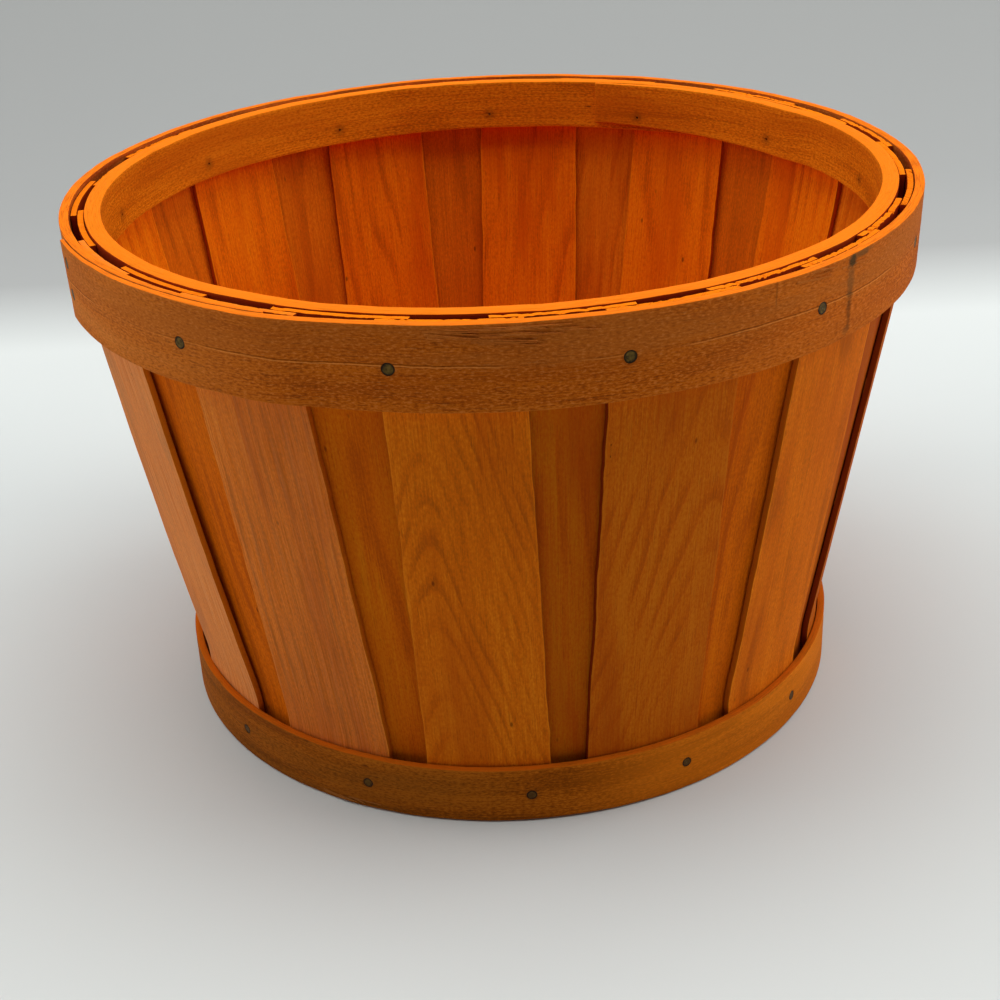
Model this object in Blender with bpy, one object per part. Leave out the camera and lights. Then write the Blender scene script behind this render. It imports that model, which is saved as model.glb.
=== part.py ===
"""Round farm basket: thin wooden staves in two layers, nailed between two hoops at the rim
and between a hoop and a solid round board at the bottom.

Metres, +Z up. The origin is on the ground under the middle of the basket, and angles are
measured about +Z from +X, so the front of the basket is at -90 degrees."""

import math
from collections import namedtuple

import bmesh
import bpy
from mathutils import Matrix

# Overall sizes, outside
RIM_DIAMETER = 0.2794
BASKET_HEIGHT = 0.1778
BOTTOM_DIAMETER = 0.2328

# Gap left between two pieces that touch
CLEARANCE = 0.0003

# Hoops: sawn strips bent round, whose thinned ends overlap
HOOP_LEAN = math.radians(1.5)
OUTER_HOOP_HEIGHT = 0.0260
OUTER_HOOP_THICKNESS = 0.0032
INNER_HOOP_HEIGHT = 0.0190
INNER_HOOP_THICKNESS = 0.0053
BOTTOM_HOOP_HEIGHT = 0.0202
BOTTOM_HOOP_THICKNESS = 0.0026
HOOP_TIP_THICKNESS = 0.0012
OUTER_LAP_LENGTH = 0.0980
INNER_LAP_LENGTH = 0.0880
BOTTOM_LAP_LENGTH = 0.0700
LAP_RAMP_LENGTH = 0.0200
INNER_TIP_NARROWING = 0.0026
INNER_LAP_ANGLE = math.radians(70)
BOTTOM_LAP_ANGLE = math.radians(112)

# Staves: straight strips of one width, in an outer and an inner layer. At the rim each
# stave laps over its two neighbours in the other layer by the mean overlap
STAVE_COUNT = 13
STAVE_OVERLAP = 0.0065
STAVE_THICKNESS = 0.0019
STAVE_BEND_LENGTH = 0.0080
STAVE_TOP_DROP = 0.0012
STAVE_TOP_UNEVENNESS = 0.0005
STAVE_FOOT_LIFT = 0.0005

# An inner stave stands half a place on from the outer stave of its number
INNER_SHIFT = 0.5

# The staves were set by eye, so their spacing swings once and twice round the basket
FIRST_STAVE_ANGLE = math.radians(-150.9)
ONCE_ROUND_SWING = math.radians(2.1)
CLOSEST_STAVES_ANGLE = math.radians(-67)
TWICE_ROUND_SWING = math.radians(1.1)

# All of them lean a little to the left, seen from outside, by this turn over the whole height
STAVE_LEAN = math.radians(1.0)

# Bottom board, set at the middle of the bottom hoop's height
BOARD_THICKNESS = 0.0095

# Nails: their heads are driven flush, and the rim nails stop just under the inner face
NAIL_HEAD_DIAMETER = 0.0038
NAIL_HEAD_THICKNESS = 0.0006
NAIL_SHANK_DIAMETER = 0.0018
NAIL_POINT_LENGTH = 0.0018
NAIL_POINT_DIAMETER = 0.0007
NAIL_SINK = 0.0001
RIM_NAIL_LIFT = 0.0060
LAP_NAIL_LIFT = 0.0026
LAP_NAIL_DROP = 0.0064
LAP_NAIL_SETBACK = 0.0055
BOARD_NAIL_BITE = 0.0090
HOLE_OVERRUN = 0.0010

# How finely the round shapes are drawn
HOOP_STEPS = 72
RAMP_STEPS = 4
STAVE_COLUMNS = 4
BEND_STEPS = 2
NAIL_SIDES = 8

WOOD_COLOURS = {
    "outer_stave": (0.62, 0.21, 0.045, 1.0),
    "inner_stave": (0.50, 0.14, 0.030, 1.0),
    "rim_hoop": (0.72, 0.27, 0.055, 1.0),
    "bottom_hoop": (0.55, 0.19, 0.045, 1.0),
    "board": (0.58, 0.20, 0.050, 1.0),
}
NAIL_COLOUR = (0.18, 0.18, 0.14, 1.0)

# A hoop's strip lies on its seat, growing outwards (1) or towards the axis (-1) from there
Hoop = namedtuple("Hoop", "seat bottom thickness lap lap_angle side tip_narrowing")

# Distances from the axis of a nail's head, its point and the end of its hole
Nail = namedtuple("Nail", "name angle height head point hole_end")


def make_material(name, colour, roughness, metallic):
    """A plain surface with its own colour."""
    material = bpy.data.materials.new(name)
    material.use_nodes = True
    shader = material.node_tree.nodes["Principled BSDF"]
    shader.inputs["Base Color"].default_value = colour
    shader.inputs["Roughness"].default_value = roughness
    shader.inputs["Metallic"].default_value = metallic
    material.diffuse_color = colour
    return material


def make_object(name, bm, material=None):
    """Turn a finished bmesh into an object with one material."""
    bmesh.ops.recalc_face_normals(bm, faces=bm.faces)
    mesh = bpy.data.meshes.new(name)
    bm.to_mesh(mesh)
    bm.free()
    if material:
        mesh.materials.append(material)
    mesh.shade_smooth()
    mesh.set_sharp_from_angle(angle=math.radians(30))
    made = bpy.data.objects.new(name, mesh)
    bpy.context.scene.collection.objects.link(made)
    return made


def join_sections(bm, sections):
    """Bridge closed cross-sections, one after the other, and cap the first and the last."""
    rings = [[bm.verts.new(point) for point in section] for section in sections]
    for ring, following in zip(rings, rings[1:]):
        for corner in range(len(ring)):
            after = (corner + 1) % len(ring)
            bm.faces.new((ring[corner], ring[after], following[after], following[corner]))
    bm.faces.new(reversed(rings[0]))
    bm.faces.new(rings[-1])


def polar(radius, angle, height, sideways=0.0):
    """A point from its distance to the axis, angle and height, and a step towards more angle."""
    along_x = radius * math.cos(angle) - sideways * math.sin(angle)
    along_y = radius * math.sin(angle) + sideways * math.cos(angle)
    return (along_x, along_y, height)


# Where the layers lie, measured from the axis


def stave_layers():
    """Room for the two layers of staves, with the gaps on both sides and between them."""
    return 2 * STAVE_THICKNESS + 3 * CLEARANCE


def outer_hoop_inside(height):
    """The rim leans inwards a little on its way down."""
    narrowing = (BASKET_HEIGHT - height) * math.tan(HOOP_LEAN)
    return RIM_DIAMETER / 2 - OUTER_HOOP_THICKNESS - narrowing


def inner_hoop_outside(height):
    return outer_hoop_inside(height) - stave_layers()


def bottom_hoop_inside(height=0.0):
    """The bottom hoop stands upright, so every height gives the same distance."""
    return BOTTOM_DIAMETER / 2 - BOTTOM_HOOP_THICKNESS


def board_radius():
    return bottom_hoop_inside() - stave_layers()


def board_middle():
    return BOTTOM_HOOP_HEIGHT / 2


def stave_width():
    """Wide enough that the staves of both layers, one after the other, go round the rim."""
    round_rim = math.tau * outer_hoop_inside(BASKET_HEIGHT)
    return round_rim / (2 * STAVE_COUNT) + STAVE_OVERLAP


def stave_angle(place, height):
    """Angle, at a height, of a place counted in outer staves from the first.

    An inner stave's place has a half."""
    even = FIRST_STAVE_ANGLE + place * math.tau / STAVE_COUNT
    once = ONCE_ROUND_SWING * math.sin(even - CLOSEST_STAVES_ANGLE)
    twice = TWICE_ROUND_SWING * math.sin(2 * even)
    return even - once + twice - STAVE_LEAN * height / BASKET_HEIGHT


# Hoops


def outer_lap_angle():
    """The outer hoop's open end, a little past the first rim nail."""
    first_nail = rim_nail_angle(0, BASKET_HEIGHT)
    return first_nail - LAP_NAIL_SETBACK / outer_hoop_inside(BASKET_HEIGHT)


def outer_rim_hoop():
    bottom = BASKET_HEIGHT - OUTER_HOOP_HEIGHT
    lap_angle = outer_lap_angle()
    return Hoop(outer_hoop_inside, bottom, OUTER_HOOP_THICKNESS, OUTER_LAP_LENGTH, lap_angle, 1, 0)


def inner_rim_hoop():
    bottom = BASKET_HEIGHT - INNER_HOOP_HEIGHT
    return Hoop(
        inner_hoop_outside,
        bottom,
        INNER_HOOP_THICKNESS,
        INNER_LAP_LENGTH,
        INNER_LAP_ANGLE,
        -1,
        INNER_TIP_NARROWING,
    )


def bottom_hoop():
    return Hoop(
        bottom_hoop_inside, 0, BOTTOM_HOOP_THICKNESS, BOTTOM_LAP_LENGTH, BOTTOM_LAP_ANGLE, 1, 0
    )


def thinned(thickness, from_tip, lap):
    """Thickness of a hoop's end at a length from its tip."""
    share = min(from_tip / lap, 1.0)
    return HOOP_TIP_THICKNESS + (thickness - HOOP_TIP_THICKNESS) * share


def strip_layer(hoop, travelled, round_trip):
    """Lift off the seat, and thickness, at a length travelled along the strip.

    The strip starts with its open end, which lies over its covered end for the length of
    the lap. Past the covered end's tip it comes down on the seat."""
    if travelled <= hoop.lap:
        covered = thinned(hoop.thickness, hoop.lap - travelled, hoop.lap)
        return covered + CLEARANCE, thinned(hoop.thickness, travelled, hoop.lap)
    if travelled < hoop.lap + LAP_RAMP_LENGTH:
        share = (travelled - hoop.lap) / LAP_RAMP_LENGTH
        eased = share * share * (3 - 2 * share)
        return (HOOP_TIP_THICKNESS + CLEARANCE) * (1 - eased), hoop.thickness
    if travelled <= round_trip:
        return 0.0, hoop.thickness
    to_tip = hoop.lap - (travelled - round_trip)
    return 0.0, thinned(hoop.thickness, max(to_tip, 0.0), hoop.lap)


def strip_stations(hoop, round_trip):
    """Lengths along the strip: even steps, and the places where its thickness turns."""
    step = round_trip / HOOP_STEPS
    steps = int((round_trip + hoop.lap) / step)
    even = [index * step for index in range(steps + 1)]
    turns = [0.0, hoop.lap, round_trip, round_trip + hoop.lap]
    turns += [hoop.lap + LAP_RAMP_LENGTH * (part + 1) / RAMP_STEPS for part in range(RAMP_STEPS)]
    clear = [length for length in even if all(abs(length - turn) > step / 3 for turn in turns)]
    return sorted(clear + turns)


def bend_hoop(name, hoop, top, material):
    """Bend a hoop's strip round the basket, one cross-section after the other."""
    round_trip = math.tau * hoop.seat((hoop.bottom + top) / 2)
    sections = []
    for travelled in strip_stations(hoop, round_trip):
        lift, wall = strip_layer(hoop, travelled, round_trip)
        angle = hoop.lap_angle + hoop.side * math.tau * travelled / round_trip
        low = hoop.bottom + hoop.tip_narrowing * max(1 - travelled / hoop.lap, 0)
        near = [hoop.seat(height) + hoop.side * lift for height in (low, top)]
        far = [radius + hoop.side * wall for radius in near]
        corners = ((near[0], low), (far[0], low), (far[1], top), (near[1], top))
        sections.append([polar(radius, angle, height) for radius, height in corners])
    bm = bmesh.new()
    join_sections(bm, sections)
    return make_object(name, bm, material)


def open_face(hoop, angle, height):
    """Distance from the axis to a hoop's open face at an angle, on its lap or beside it."""
    seat_radius = hoop.seat(height)
    turned = (hoop.side * (angle - hoop.lap_angle)) % math.tau
    lift, wall = strip_layer(hoop, turned * seat_radius, math.tau * seat_radius)
    return seat_radius + hoop.side * (lift + wall)


# Staves


def towards(point, target, distance):
    """The point at a distance from one point on the way to another."""
    whole = math.dist(point, target)
    return tuple(a + (b - a) * distance / whole for a, b in zip(point, target))


def bend(before, corner, after):
    """Points that round a corner of a path."""
    start = towards(corner, before, STAVE_BEND_LENGTH / 2)
    end = towards(corner, after, STAVE_BEND_LENGTH / 2)
    points = []
    for step in range(BEND_STEPS + 1):
        share = step / BEND_STEPS
        weights = ((1 - share) ** 2, 2 * share * (1 - share), share**2)
        places = zip(start, corner, end)
        points.append(tuple(sum(w * p for w, p in zip(weights, place)) for place in places))
    return points


def stave_path(top):
    """Distance from the axis and height along an outer stave's outer face.

    The stave stands upright inside the bottom hoop, slopes outwards in a straight run, and
    turns nearly upright again between the two rim hoops."""
    foot_radius = bottom_hoop_inside() - CLEARANCE
    low_bend = BOTTOM_HOOP_HEIGHT + STAVE_BEND_LENGTH / 2
    high_bend = BASKET_HEIGHT - INNER_HOOP_HEIGHT - STAVE_BEND_LENGTH / 2
    foot = (foot_radius, STAVE_FOOT_LIFT)
    low = (foot_radius, low_bend)
    high = (outer_hoop_inside(high_bend) - CLEARANCE, high_bend)
    end = (outer_hoop_inside(top) - CLEARANCE, top)
    return [foot] + bend(foot, low, high) + bend(low, high, end) + [end]


def stave(name, place, depth, material):
    """One stave, curved across its width to lie round the basket, depth inside the outer layer."""
    top = BASKET_HEIGHT - STAVE_TOP_DROP + STAVE_TOP_UNEVENNESS * math.sin(STAVE_COUNT * place)
    left = -stave_width() / 2
    column = stave_width() / STAVE_COLUMNS
    across = [left + column * number for number in range(STAVE_COLUMNS + 1)]
    sections = []
    for radius, height in stave_path(top):
        middle = stave_angle(place, height)
        outside = radius - depth
        inside = outside - STAVE_THICKNESS
        front = [polar(outside, middle + part / outside, height) for part in across]
        back = [polar(inside, middle + part / outside, height) for part in reversed(across)]
        sections.append(front + back)
    bm = bmesh.new()
    join_sections(bm, sections)
    return make_object(name, bm, material)


# Bottom board


def bottom_board(material):
    """The solid round board that carries the load."""
    bm = bmesh.new()
    bmesh.ops.create_cone(
        bm,
        cap_ends=True,
        segments=HOOP_STEPS,
        radius1=board_radius(),
        radius2=board_radius(),
        depth=BOARD_THICKNESS,
        matrix=Matrix.Translation((0, 0, board_middle())),
    )
    return make_object("bottom_board", bm, material)


# Nails


def rim_nail_angle(number, height):
    """The middle of an outer stave's overlap with the inner one on its left, from outside."""
    return (stave_angle(number, height) + stave_angle(number - INNER_SHIFT, height)) / 2


def bottom_nail_angle(number):
    """The middle of an outer stave's overlap with the inner one on its right."""
    height = board_middle()
    return (stave_angle(number, height) + stave_angle(number + INNER_SHIFT, height)) / 2


def rim_nail(name, number, height):
    """A nail from the outer hoop's face to just under the inner hoop's face."""
    angle = rim_nail_angle(number, height)
    head = open_face(outer_rim_hoop(), angle, height) - NAIL_SINK
    inner_face = open_face(inner_rim_hoop(), angle, height)
    return Nail(name, angle, height, head, inner_face + CLEARANCE, inner_face - HOLE_OVERRUN)


def bottom_nail(name, angle):
    """A nail from the bottom hoop's face into the board's edge."""
    head = open_face(bottom_hoop(), angle, board_middle()) - NAIL_SINK
    point = board_radius() - BOARD_NAIL_BITE
    return Nail(name, angle, board_middle(), head, point, point - CLEARANCE)


def nail_list():
    """One rim nail and one bottom nail for each outer stave, and a second nail at the lap."""
    inner_hoop_bottom = BASKET_HEIGHT - INNER_HOOP_HEIGHT
    nails = [rim_nail("lap_nail", 0, BASKET_HEIGHT - LAP_NAIL_DROP)]
    for number in range(STAVE_COUNT):
        lift = RIM_NAIL_LIFT if number else LAP_NAIL_LIFT
        nails.append(rim_nail(f"rim_nail_{number + 1:02d}", number, inner_hoop_bottom + lift))
        nails.append(bottom_nail(f"bottom_nail_{number + 1:02d}", bottom_nail_angle(number)))
    return nails


def add_turned(bm, nail, profile):
    """Add a turned shape that lies level and points at the basket's axis.

    The profile gives pairs of a distance from the axis and a radius there."""
    sections = []
    for from_axis, radius in profile:
        section = []
        for side in range(NAIL_SIDES):
            turn = math.tau * (side + 0.5) / NAIL_SIDES
            height = nail.height + radius * math.sin(turn)
            section.append(polar(from_axis, nail.angle, height, radius * math.cos(turn)))
        sections.append(section)
    join_sections(bm, sections)


def make_nail(nail, material):
    head_radius = NAIL_HEAD_DIAMETER / 2
    shank_radius = NAIL_SHANK_DIAMETER / 2
    under_head = nail.head - NAIL_HEAD_THICKNESS
    profile = [
        (nail.head, head_radius),
        (under_head, head_radius),
        (under_head, shank_radius),
        (nail.point + NAIL_POINT_LENGTH, shank_radius),
        (nail.point, NAIL_POINT_DIAMETER / 2),
    ]
    bm = bmesh.new()
    add_turned(bm, nail, profile)
    return make_object(nail.name, bm, material)


def nail_holes(nails):
    """Every nail's hole in one cutter: a pocket for the head and a bore for the shank."""
    pocket_radius = NAIL_HEAD_DIAMETER / 2 + CLEARANCE
    bore_radius = NAIL_SHANK_DIAMETER / 2 + CLEARANCE
    bm = bmesh.new()
    for nail in nails:
        pocket_end = nail.head - NAIL_HEAD_THICKNESS - CLEARANCE
        profile = [
            (nail.head + HOLE_OVERRUN, pocket_radius),
            (pocket_end, pocket_radius),
            (pocket_end, bore_radius),
            (nail.hole_end, bore_radius),
        ]
        add_turned(bm, nail, profile)
    cutter = make_object("nail_holes", bm)
    cutter.hide_render = True
    cutter.display_type = "WIRE"
    return cutter


def cut_nail_holes(piece, cutter):
    cut = piece.modifiers.new("nail_holes", "BOOLEAN")
    cut.operation = "DIFFERENCE"
    cut.solver = "EXACT"
    cut.object = cutter


def build_basket():
    for old in list(bpy.data.objects):
        bpy.data.objects.remove(old, do_unlink=True)
    woods = {
        name: make_material(name, colour, 0.6, 0.0) for name, colour in WOOD_COLOURS.items()
    }
    steel = make_material("nail", NAIL_COLOUR, 0.45, 0.8)

    wooden = [
        bend_hoop("outer_rim_hoop", outer_rim_hoop(), BASKET_HEIGHT, woods["rim_hoop"]),
        bend_hoop("inner_rim_hoop", inner_rim_hoop(), BASKET_HEIGHT, woods["rim_hoop"]),
        bend_hoop("bottom_hoop", bottom_hoop(), BOTTOM_HOOP_HEIGHT, woods["bottom_hoop"]),
        bottom_board(woods["board"]),
    ]
    inner_depth = STAVE_THICKNESS + CLEARANCE
    for number in range(STAVE_COUNT):
        label = f"{number + 1:02d}"
        inner_place = number + INNER_SHIFT
        wooden.append(stave(f"outer_stave_{label}", number, 0.0, woods["outer_stave"]))
        wooden.append(stave(f"inner_stave_{label}", inner_place, inner_depth, woods["inner_stave"]))

    nails = nail_list()
    cutter = nail_holes(nails)
    for piece in wooden:
        cut_nail_holes(piece, cutter)
    for each in nails:
        make_nail(each, steel)


build_basket()
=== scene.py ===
# %% [markdown]
# A stave basket, dressed for the camera.
#
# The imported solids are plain: smooth strips bent round, with flat colours. This script keeps
# their sizes and places and gives them the look of the real thing, which is thin wood, dyed
# orange, cut with a knife and nailed by hand. It runs from top to bottom, one cell at a time.

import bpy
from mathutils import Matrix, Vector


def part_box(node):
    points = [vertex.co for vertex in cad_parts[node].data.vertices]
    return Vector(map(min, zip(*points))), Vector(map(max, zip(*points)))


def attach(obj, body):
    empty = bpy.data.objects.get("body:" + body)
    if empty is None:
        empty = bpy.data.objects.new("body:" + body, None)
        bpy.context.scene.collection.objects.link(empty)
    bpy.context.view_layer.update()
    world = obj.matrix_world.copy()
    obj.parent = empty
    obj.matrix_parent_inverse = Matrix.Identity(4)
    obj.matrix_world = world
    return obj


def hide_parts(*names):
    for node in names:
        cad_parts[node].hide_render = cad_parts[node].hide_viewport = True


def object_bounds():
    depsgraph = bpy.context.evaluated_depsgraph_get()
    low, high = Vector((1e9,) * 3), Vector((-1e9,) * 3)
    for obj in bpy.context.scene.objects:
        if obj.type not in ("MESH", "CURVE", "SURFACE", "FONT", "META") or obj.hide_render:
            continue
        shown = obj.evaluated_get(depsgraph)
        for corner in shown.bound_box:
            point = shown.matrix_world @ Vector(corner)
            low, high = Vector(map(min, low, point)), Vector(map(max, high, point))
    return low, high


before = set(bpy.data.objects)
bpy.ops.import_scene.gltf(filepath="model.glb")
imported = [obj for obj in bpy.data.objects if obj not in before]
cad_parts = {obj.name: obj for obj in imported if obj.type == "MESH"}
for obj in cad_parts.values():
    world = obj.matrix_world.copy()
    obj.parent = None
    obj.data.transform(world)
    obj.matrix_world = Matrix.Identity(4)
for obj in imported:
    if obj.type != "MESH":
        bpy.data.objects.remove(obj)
solid_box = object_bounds()
print("solids:", len(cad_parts), "pieces in a box of", solid_box[1] - solid_box[0])

# %% Modules
import math

import bmesh
import bpy
import numpy as np
from mathutils import Quaternion, Vector
from mathutils.bvhtree import BVHTree

MM = 0.001
print("Blender", bpy.app.version_string, "with lengths in metres")

# %% [markdown]
# Camera. The photograph was taken from a little above, close to the basket, so the rim looks
# much wider than the foot. The place below was found by laying the rim's and the foot's
# circles over the photograph, and the turn is how far the photographer's hands were off level.

# %% Set up the camera
CAMERA_PLACE = Vector((0.0, -0.5295, 0.3280))
CAMERA_TARGET = Vector((-0.0017, 0.0, 0.0549))
CAMERA_TURN = math.radians(-2.62)
CAMERA_LENS = 58.75
CAMERA_FILM_WIDTH = 36.0
CAMERA_NEAREST = 10 * MM

camera_data = bpy.data.cameras.new("camera")
camera_data.lens = CAMERA_LENS
camera_data.sensor_width = CAMERA_FILM_WIDTH
camera_data.clip_start = CAMERA_NEAREST
camera = bpy.data.objects.new("camera", camera_data)
camera.location = CAMERA_PLACE
level_view = (CAMERA_TARGET - CAMERA_PLACE).to_track_quat("-Z", "Y")
camera.rotation_mode = "QUATERNION"
camera.rotation_quaternion = level_view @ Quaternion((0, 0, 1), CAMERA_TURN)
bpy.context.scene.collection.objects.link(camera)
bpy.context.scene.camera = camera
print("camera", (CAMERA_TARGET - CAMERA_PLACE).length, "m from its target")

# %% [markdown]
# Two helpers serve everything below. Colours are picked as hex values, the way a paint chart
# gives them, and shaders want them linear. Nodes, in materials and in geometry alike, are all
# added by one function that sets their properties and wires their sockets.

# %% Colours and nodes
def linear(hex_colour):
    """An sRGB hex colour as linear red, green, blue and alpha."""
    shares = [int(hex_colour[start : start + 2], 16) / 255 for start in (1, 3, 5)]
    return tuple(s / 12.92 if s <= 0.04045 else ((s + 0.055) / 1.055) ** 2.4 for s in shares) + (1.0,)


def add(tree, kind, wires=None, **settings):
    """Add a node with its settings, and wire its sockets, by name or number, to values or nodes."""
    node = tree.nodes.new(kind)
    for name, value in settings.items():
        setattr(node, name, value)
    for place, value in (wires or {}).items():
        sockets = [socket for socket in node.inputs if socket.enabled]
        if isinstance(place, str):
            place = [socket.name for socket in sockets].index(place)
        if isinstance(value, bpy.types.Node):
            value = next(socket for socket in value.outputs if socket.enabled)
        if isinstance(value, bpy.types.NodeSocket):
            tree.links.new(value, sockets[place])
        else:
            sockets[place].default_value = value
    return node


print("the wood's middle tone is", [round(share, 3) for share in linear("#C4681F")])

# %% [markdown]
# Stage. A plain pale sheet of paper lies on the table and curves up far behind, so that the
# basket can be looked at from all round. In the photograph the sheet bends up close behind the
# basket, where the light on it falls off from light to grey; here that light and shade is
# painted into the paper's colour, lighter at the front and grey far behind. It is matt paper,
# which gives back light evenly and hardly shines.

# %% Lay the backdrop
SHEET_WIDTH = 6.0
SHEET_FRONT = -2.0
SHEET_BEND_START = 0.55
SHEET_BEND_RADIUS = 0.60
SHEET_BEND_STEPS = 24
SHEET_TOP = 2.5

bend_turns = [math.pi / 2 * step / SHEET_BEND_STEPS for step in range(SHEET_BEND_STEPS + 1)]
sheet_profile = [(SHEET_FRONT, 0.0)]
for turn in bend_turns:
    away = SHEET_BEND_START + SHEET_BEND_RADIUS * math.sin(turn)
    sheet_profile.append((away, SHEET_BEND_RADIUS * (1 - math.cos(turn))))
sheet_profile.append((SHEET_BEND_START + SHEET_BEND_RADIUS, SHEET_TOP))

sheet = bpy.data.meshes.new("backdrop")
corners = [(side * SHEET_WIDTH / 2, y, z) for y, z in sheet_profile for side in (-1, 1)]
strips = [(2 * row, 2 * row + 1, 2 * row + 3, 2 * row + 2) for row in range(len(sheet_profile) - 1)]
sheet.from_pydata(corners, [], strips)
sheet.shade_smooth()
backdrop = bpy.data.objects.new("backdrop", sheet)
bpy.context.scene.collection.objects.link(backdrop)
print("backdrop:", len(strips), "strips")

# %% Paint light and shade on the paper
PAPER_ROUGHNESS = 0.8
PAPER_SHINE = 0.2
PAPER_LIGHT_AND_SHADE = [
    # How far back on the sheet, in metres, and the painted light and shade there
    (-0.6, "#E9EDEA"),
    (-0.12, "#D1D6D4"),
    (0.12, "#CCD2D1"),
    (0.31, "#DBE0DE"),
    (0.42, "#AEB0AF"),
    (1.2, "#A4A6A4"),
]
TONE_FRONT = PAPER_LIGHT_AND_SHADE[0][0]
TONE_BACK = PAPER_LIGHT_AND_SHADE[-1][0]

paper = bpy.data.materials.new("matt_paper")
paper.use_nodes = True
tree = paper.node_tree
shader = tree.nodes["Principled BSDF"]
shader.inputs["Roughness"].default_value = PAPER_ROUGHNESS
shader.inputs["Specular IOR Level"].default_value = PAPER_SHINE
place = add(tree, "ShaderNodeTexCoord").outputs["Object"]
back = add(tree, "ShaderNodeSeparateXYZ", {0: place}).outputs["Y"]
share = add(tree, "ShaderNodeMapRange", {0: back, 1: TONE_FRONT, 2: TONE_BACK})
ramp = add(tree, "ShaderNodeValToRGB", {"Fac": share})
tones = ramp.color_ramp.elements
tones[0].color = linear(PAPER_LIGHT_AND_SHADE[0][1])
tones[1].color = linear(PAPER_LIGHT_AND_SHADE[-1][1])
for y, tone in PAPER_LIGHT_AND_SHADE[1:-1]:
    tones.new((y - TONE_FRONT) / (TONE_BACK - TONE_FRONT)).color = linear(tone)
tree.links.new(ramp.outputs["Color"], shader.inputs["Base Color"])
sheet.materials.append(paper)
print("paper:", len(tones), "tones")

# %% [markdown]
# Light. A big soft box hangs over the basket, a little behind it, and another stands at each
# side, the right one stronger. Nothing lights the front but the paper and the room, because
# that is where the photographer stood, so the rim shines and the front stays in shade. A lamp
# without a size would be simpler, but its shadows would have hard edges.

# %% Hang the lights
LIGHT_TARGET = Vector((0, 0, 0.1))
LIGHTS = {
    # Place, width and depth in metres, and watts
    "overhead_box": ((0.0, 0.04, 1.3), 1.5, 1.2, 17.2),
    "left_box": ((-1.1, 0.15, 0.55), 0.9, 0.9, 5.6),
    "right_box": ((1.1, 0.15, 0.55), 0.9, 0.9, 7.8),
}
ROOM_BRIGHTNESS = 0.13

for name, (place, width, depth, watts) in LIGHTS.items():
    lamp = bpy.data.lights.new(name, "AREA")
    lamp.shape = "RECTANGLE"
    lamp.size = width
    lamp.size_y = depth
    lamp.energy = watts
    light = bpy.data.objects.new(name, lamp)
    light.location = place
    light.rotation_euler = (LIGHT_TARGET - Vector(place)).to_track_quat("-Z", "Y").to_euler()
    bpy.context.scene.collection.objects.link(light)

world = bpy.data.worlds.new("room")
world.use_nodes = True
room = world.node_tree.nodes["Background"]
room.inputs["Color"].default_value = linear("#FFFFFF")
room.inputs["Strength"].default_value = ROOM_BRIGHTNESS
bpy.context.scene.world = world
bpy.context.scene.view_settings.view_transform = "Standard"
print("lights:", list(LIGHTS))

# %% [markdown]
# The basket's places are read from the solids. Every piece goes round the same upright axis,
# so a corner is best known by its distance from the axis, its angle and its height.

# %% Measure the solids
SAME_HEIGHT = 0.1 * MM


def round_the_axis(mesh):
    """Distances from the axis, angles and heights of a mesh's corners."""
    corners = np.array([corner.co for corner in mesh.vertices])
    distances = np.hypot(corners[:, 0], corners[:, 1])
    return distances, np.arctan2(corners[:, 1], corners[:, 0]), corners[:, 2]


def measure(node):
    """The same of a node's solid."""
    return round_the_axis(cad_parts[node].data)


def middle_angles(node):
    """The angles of a stave's middle at its level bottom and top edges."""
    distances, angles, heights = measure(node)
    middles = []
    for height in (heights.min(), heights.max()):
        edge = angles[abs(heights - height) < SAME_HEIGHT]
        turns = (edge - angles[0] + math.pi) % math.tau - math.pi
        middles.append(angles[0] + (turns.min() + turns.max()) / 2)
    return middles


outer_staves = sorted(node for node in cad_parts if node.startswith("outer_stave"))
inner_staves = sorted(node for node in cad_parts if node.startswith("inner_stave"))
print("outer staves at", [round(math.degrees(middle_angles(node)[1]), 1) for node in outer_staves])

# %% Sizes shared by the pieces
CLEARANCE = 0.3 * MM
RIM_TOP = solid_box[1].z
STAVE_THICKNESS = 1.9 * MM
STAVE_BEND_RADIUS = 50 * MM
STAVE_BEND_RUN = 4 * MM

inner_hoop_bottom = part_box("inner_rim_hoop")[0].z
outer_hoop_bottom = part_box("outer_rim_hoop")[0].z
bottom_hoop_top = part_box("bottom_hoop")[1].z
print("the outer hoop is", round((RIM_TOP - outer_hoop_bottom) / MM, 1), "mm high")
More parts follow.
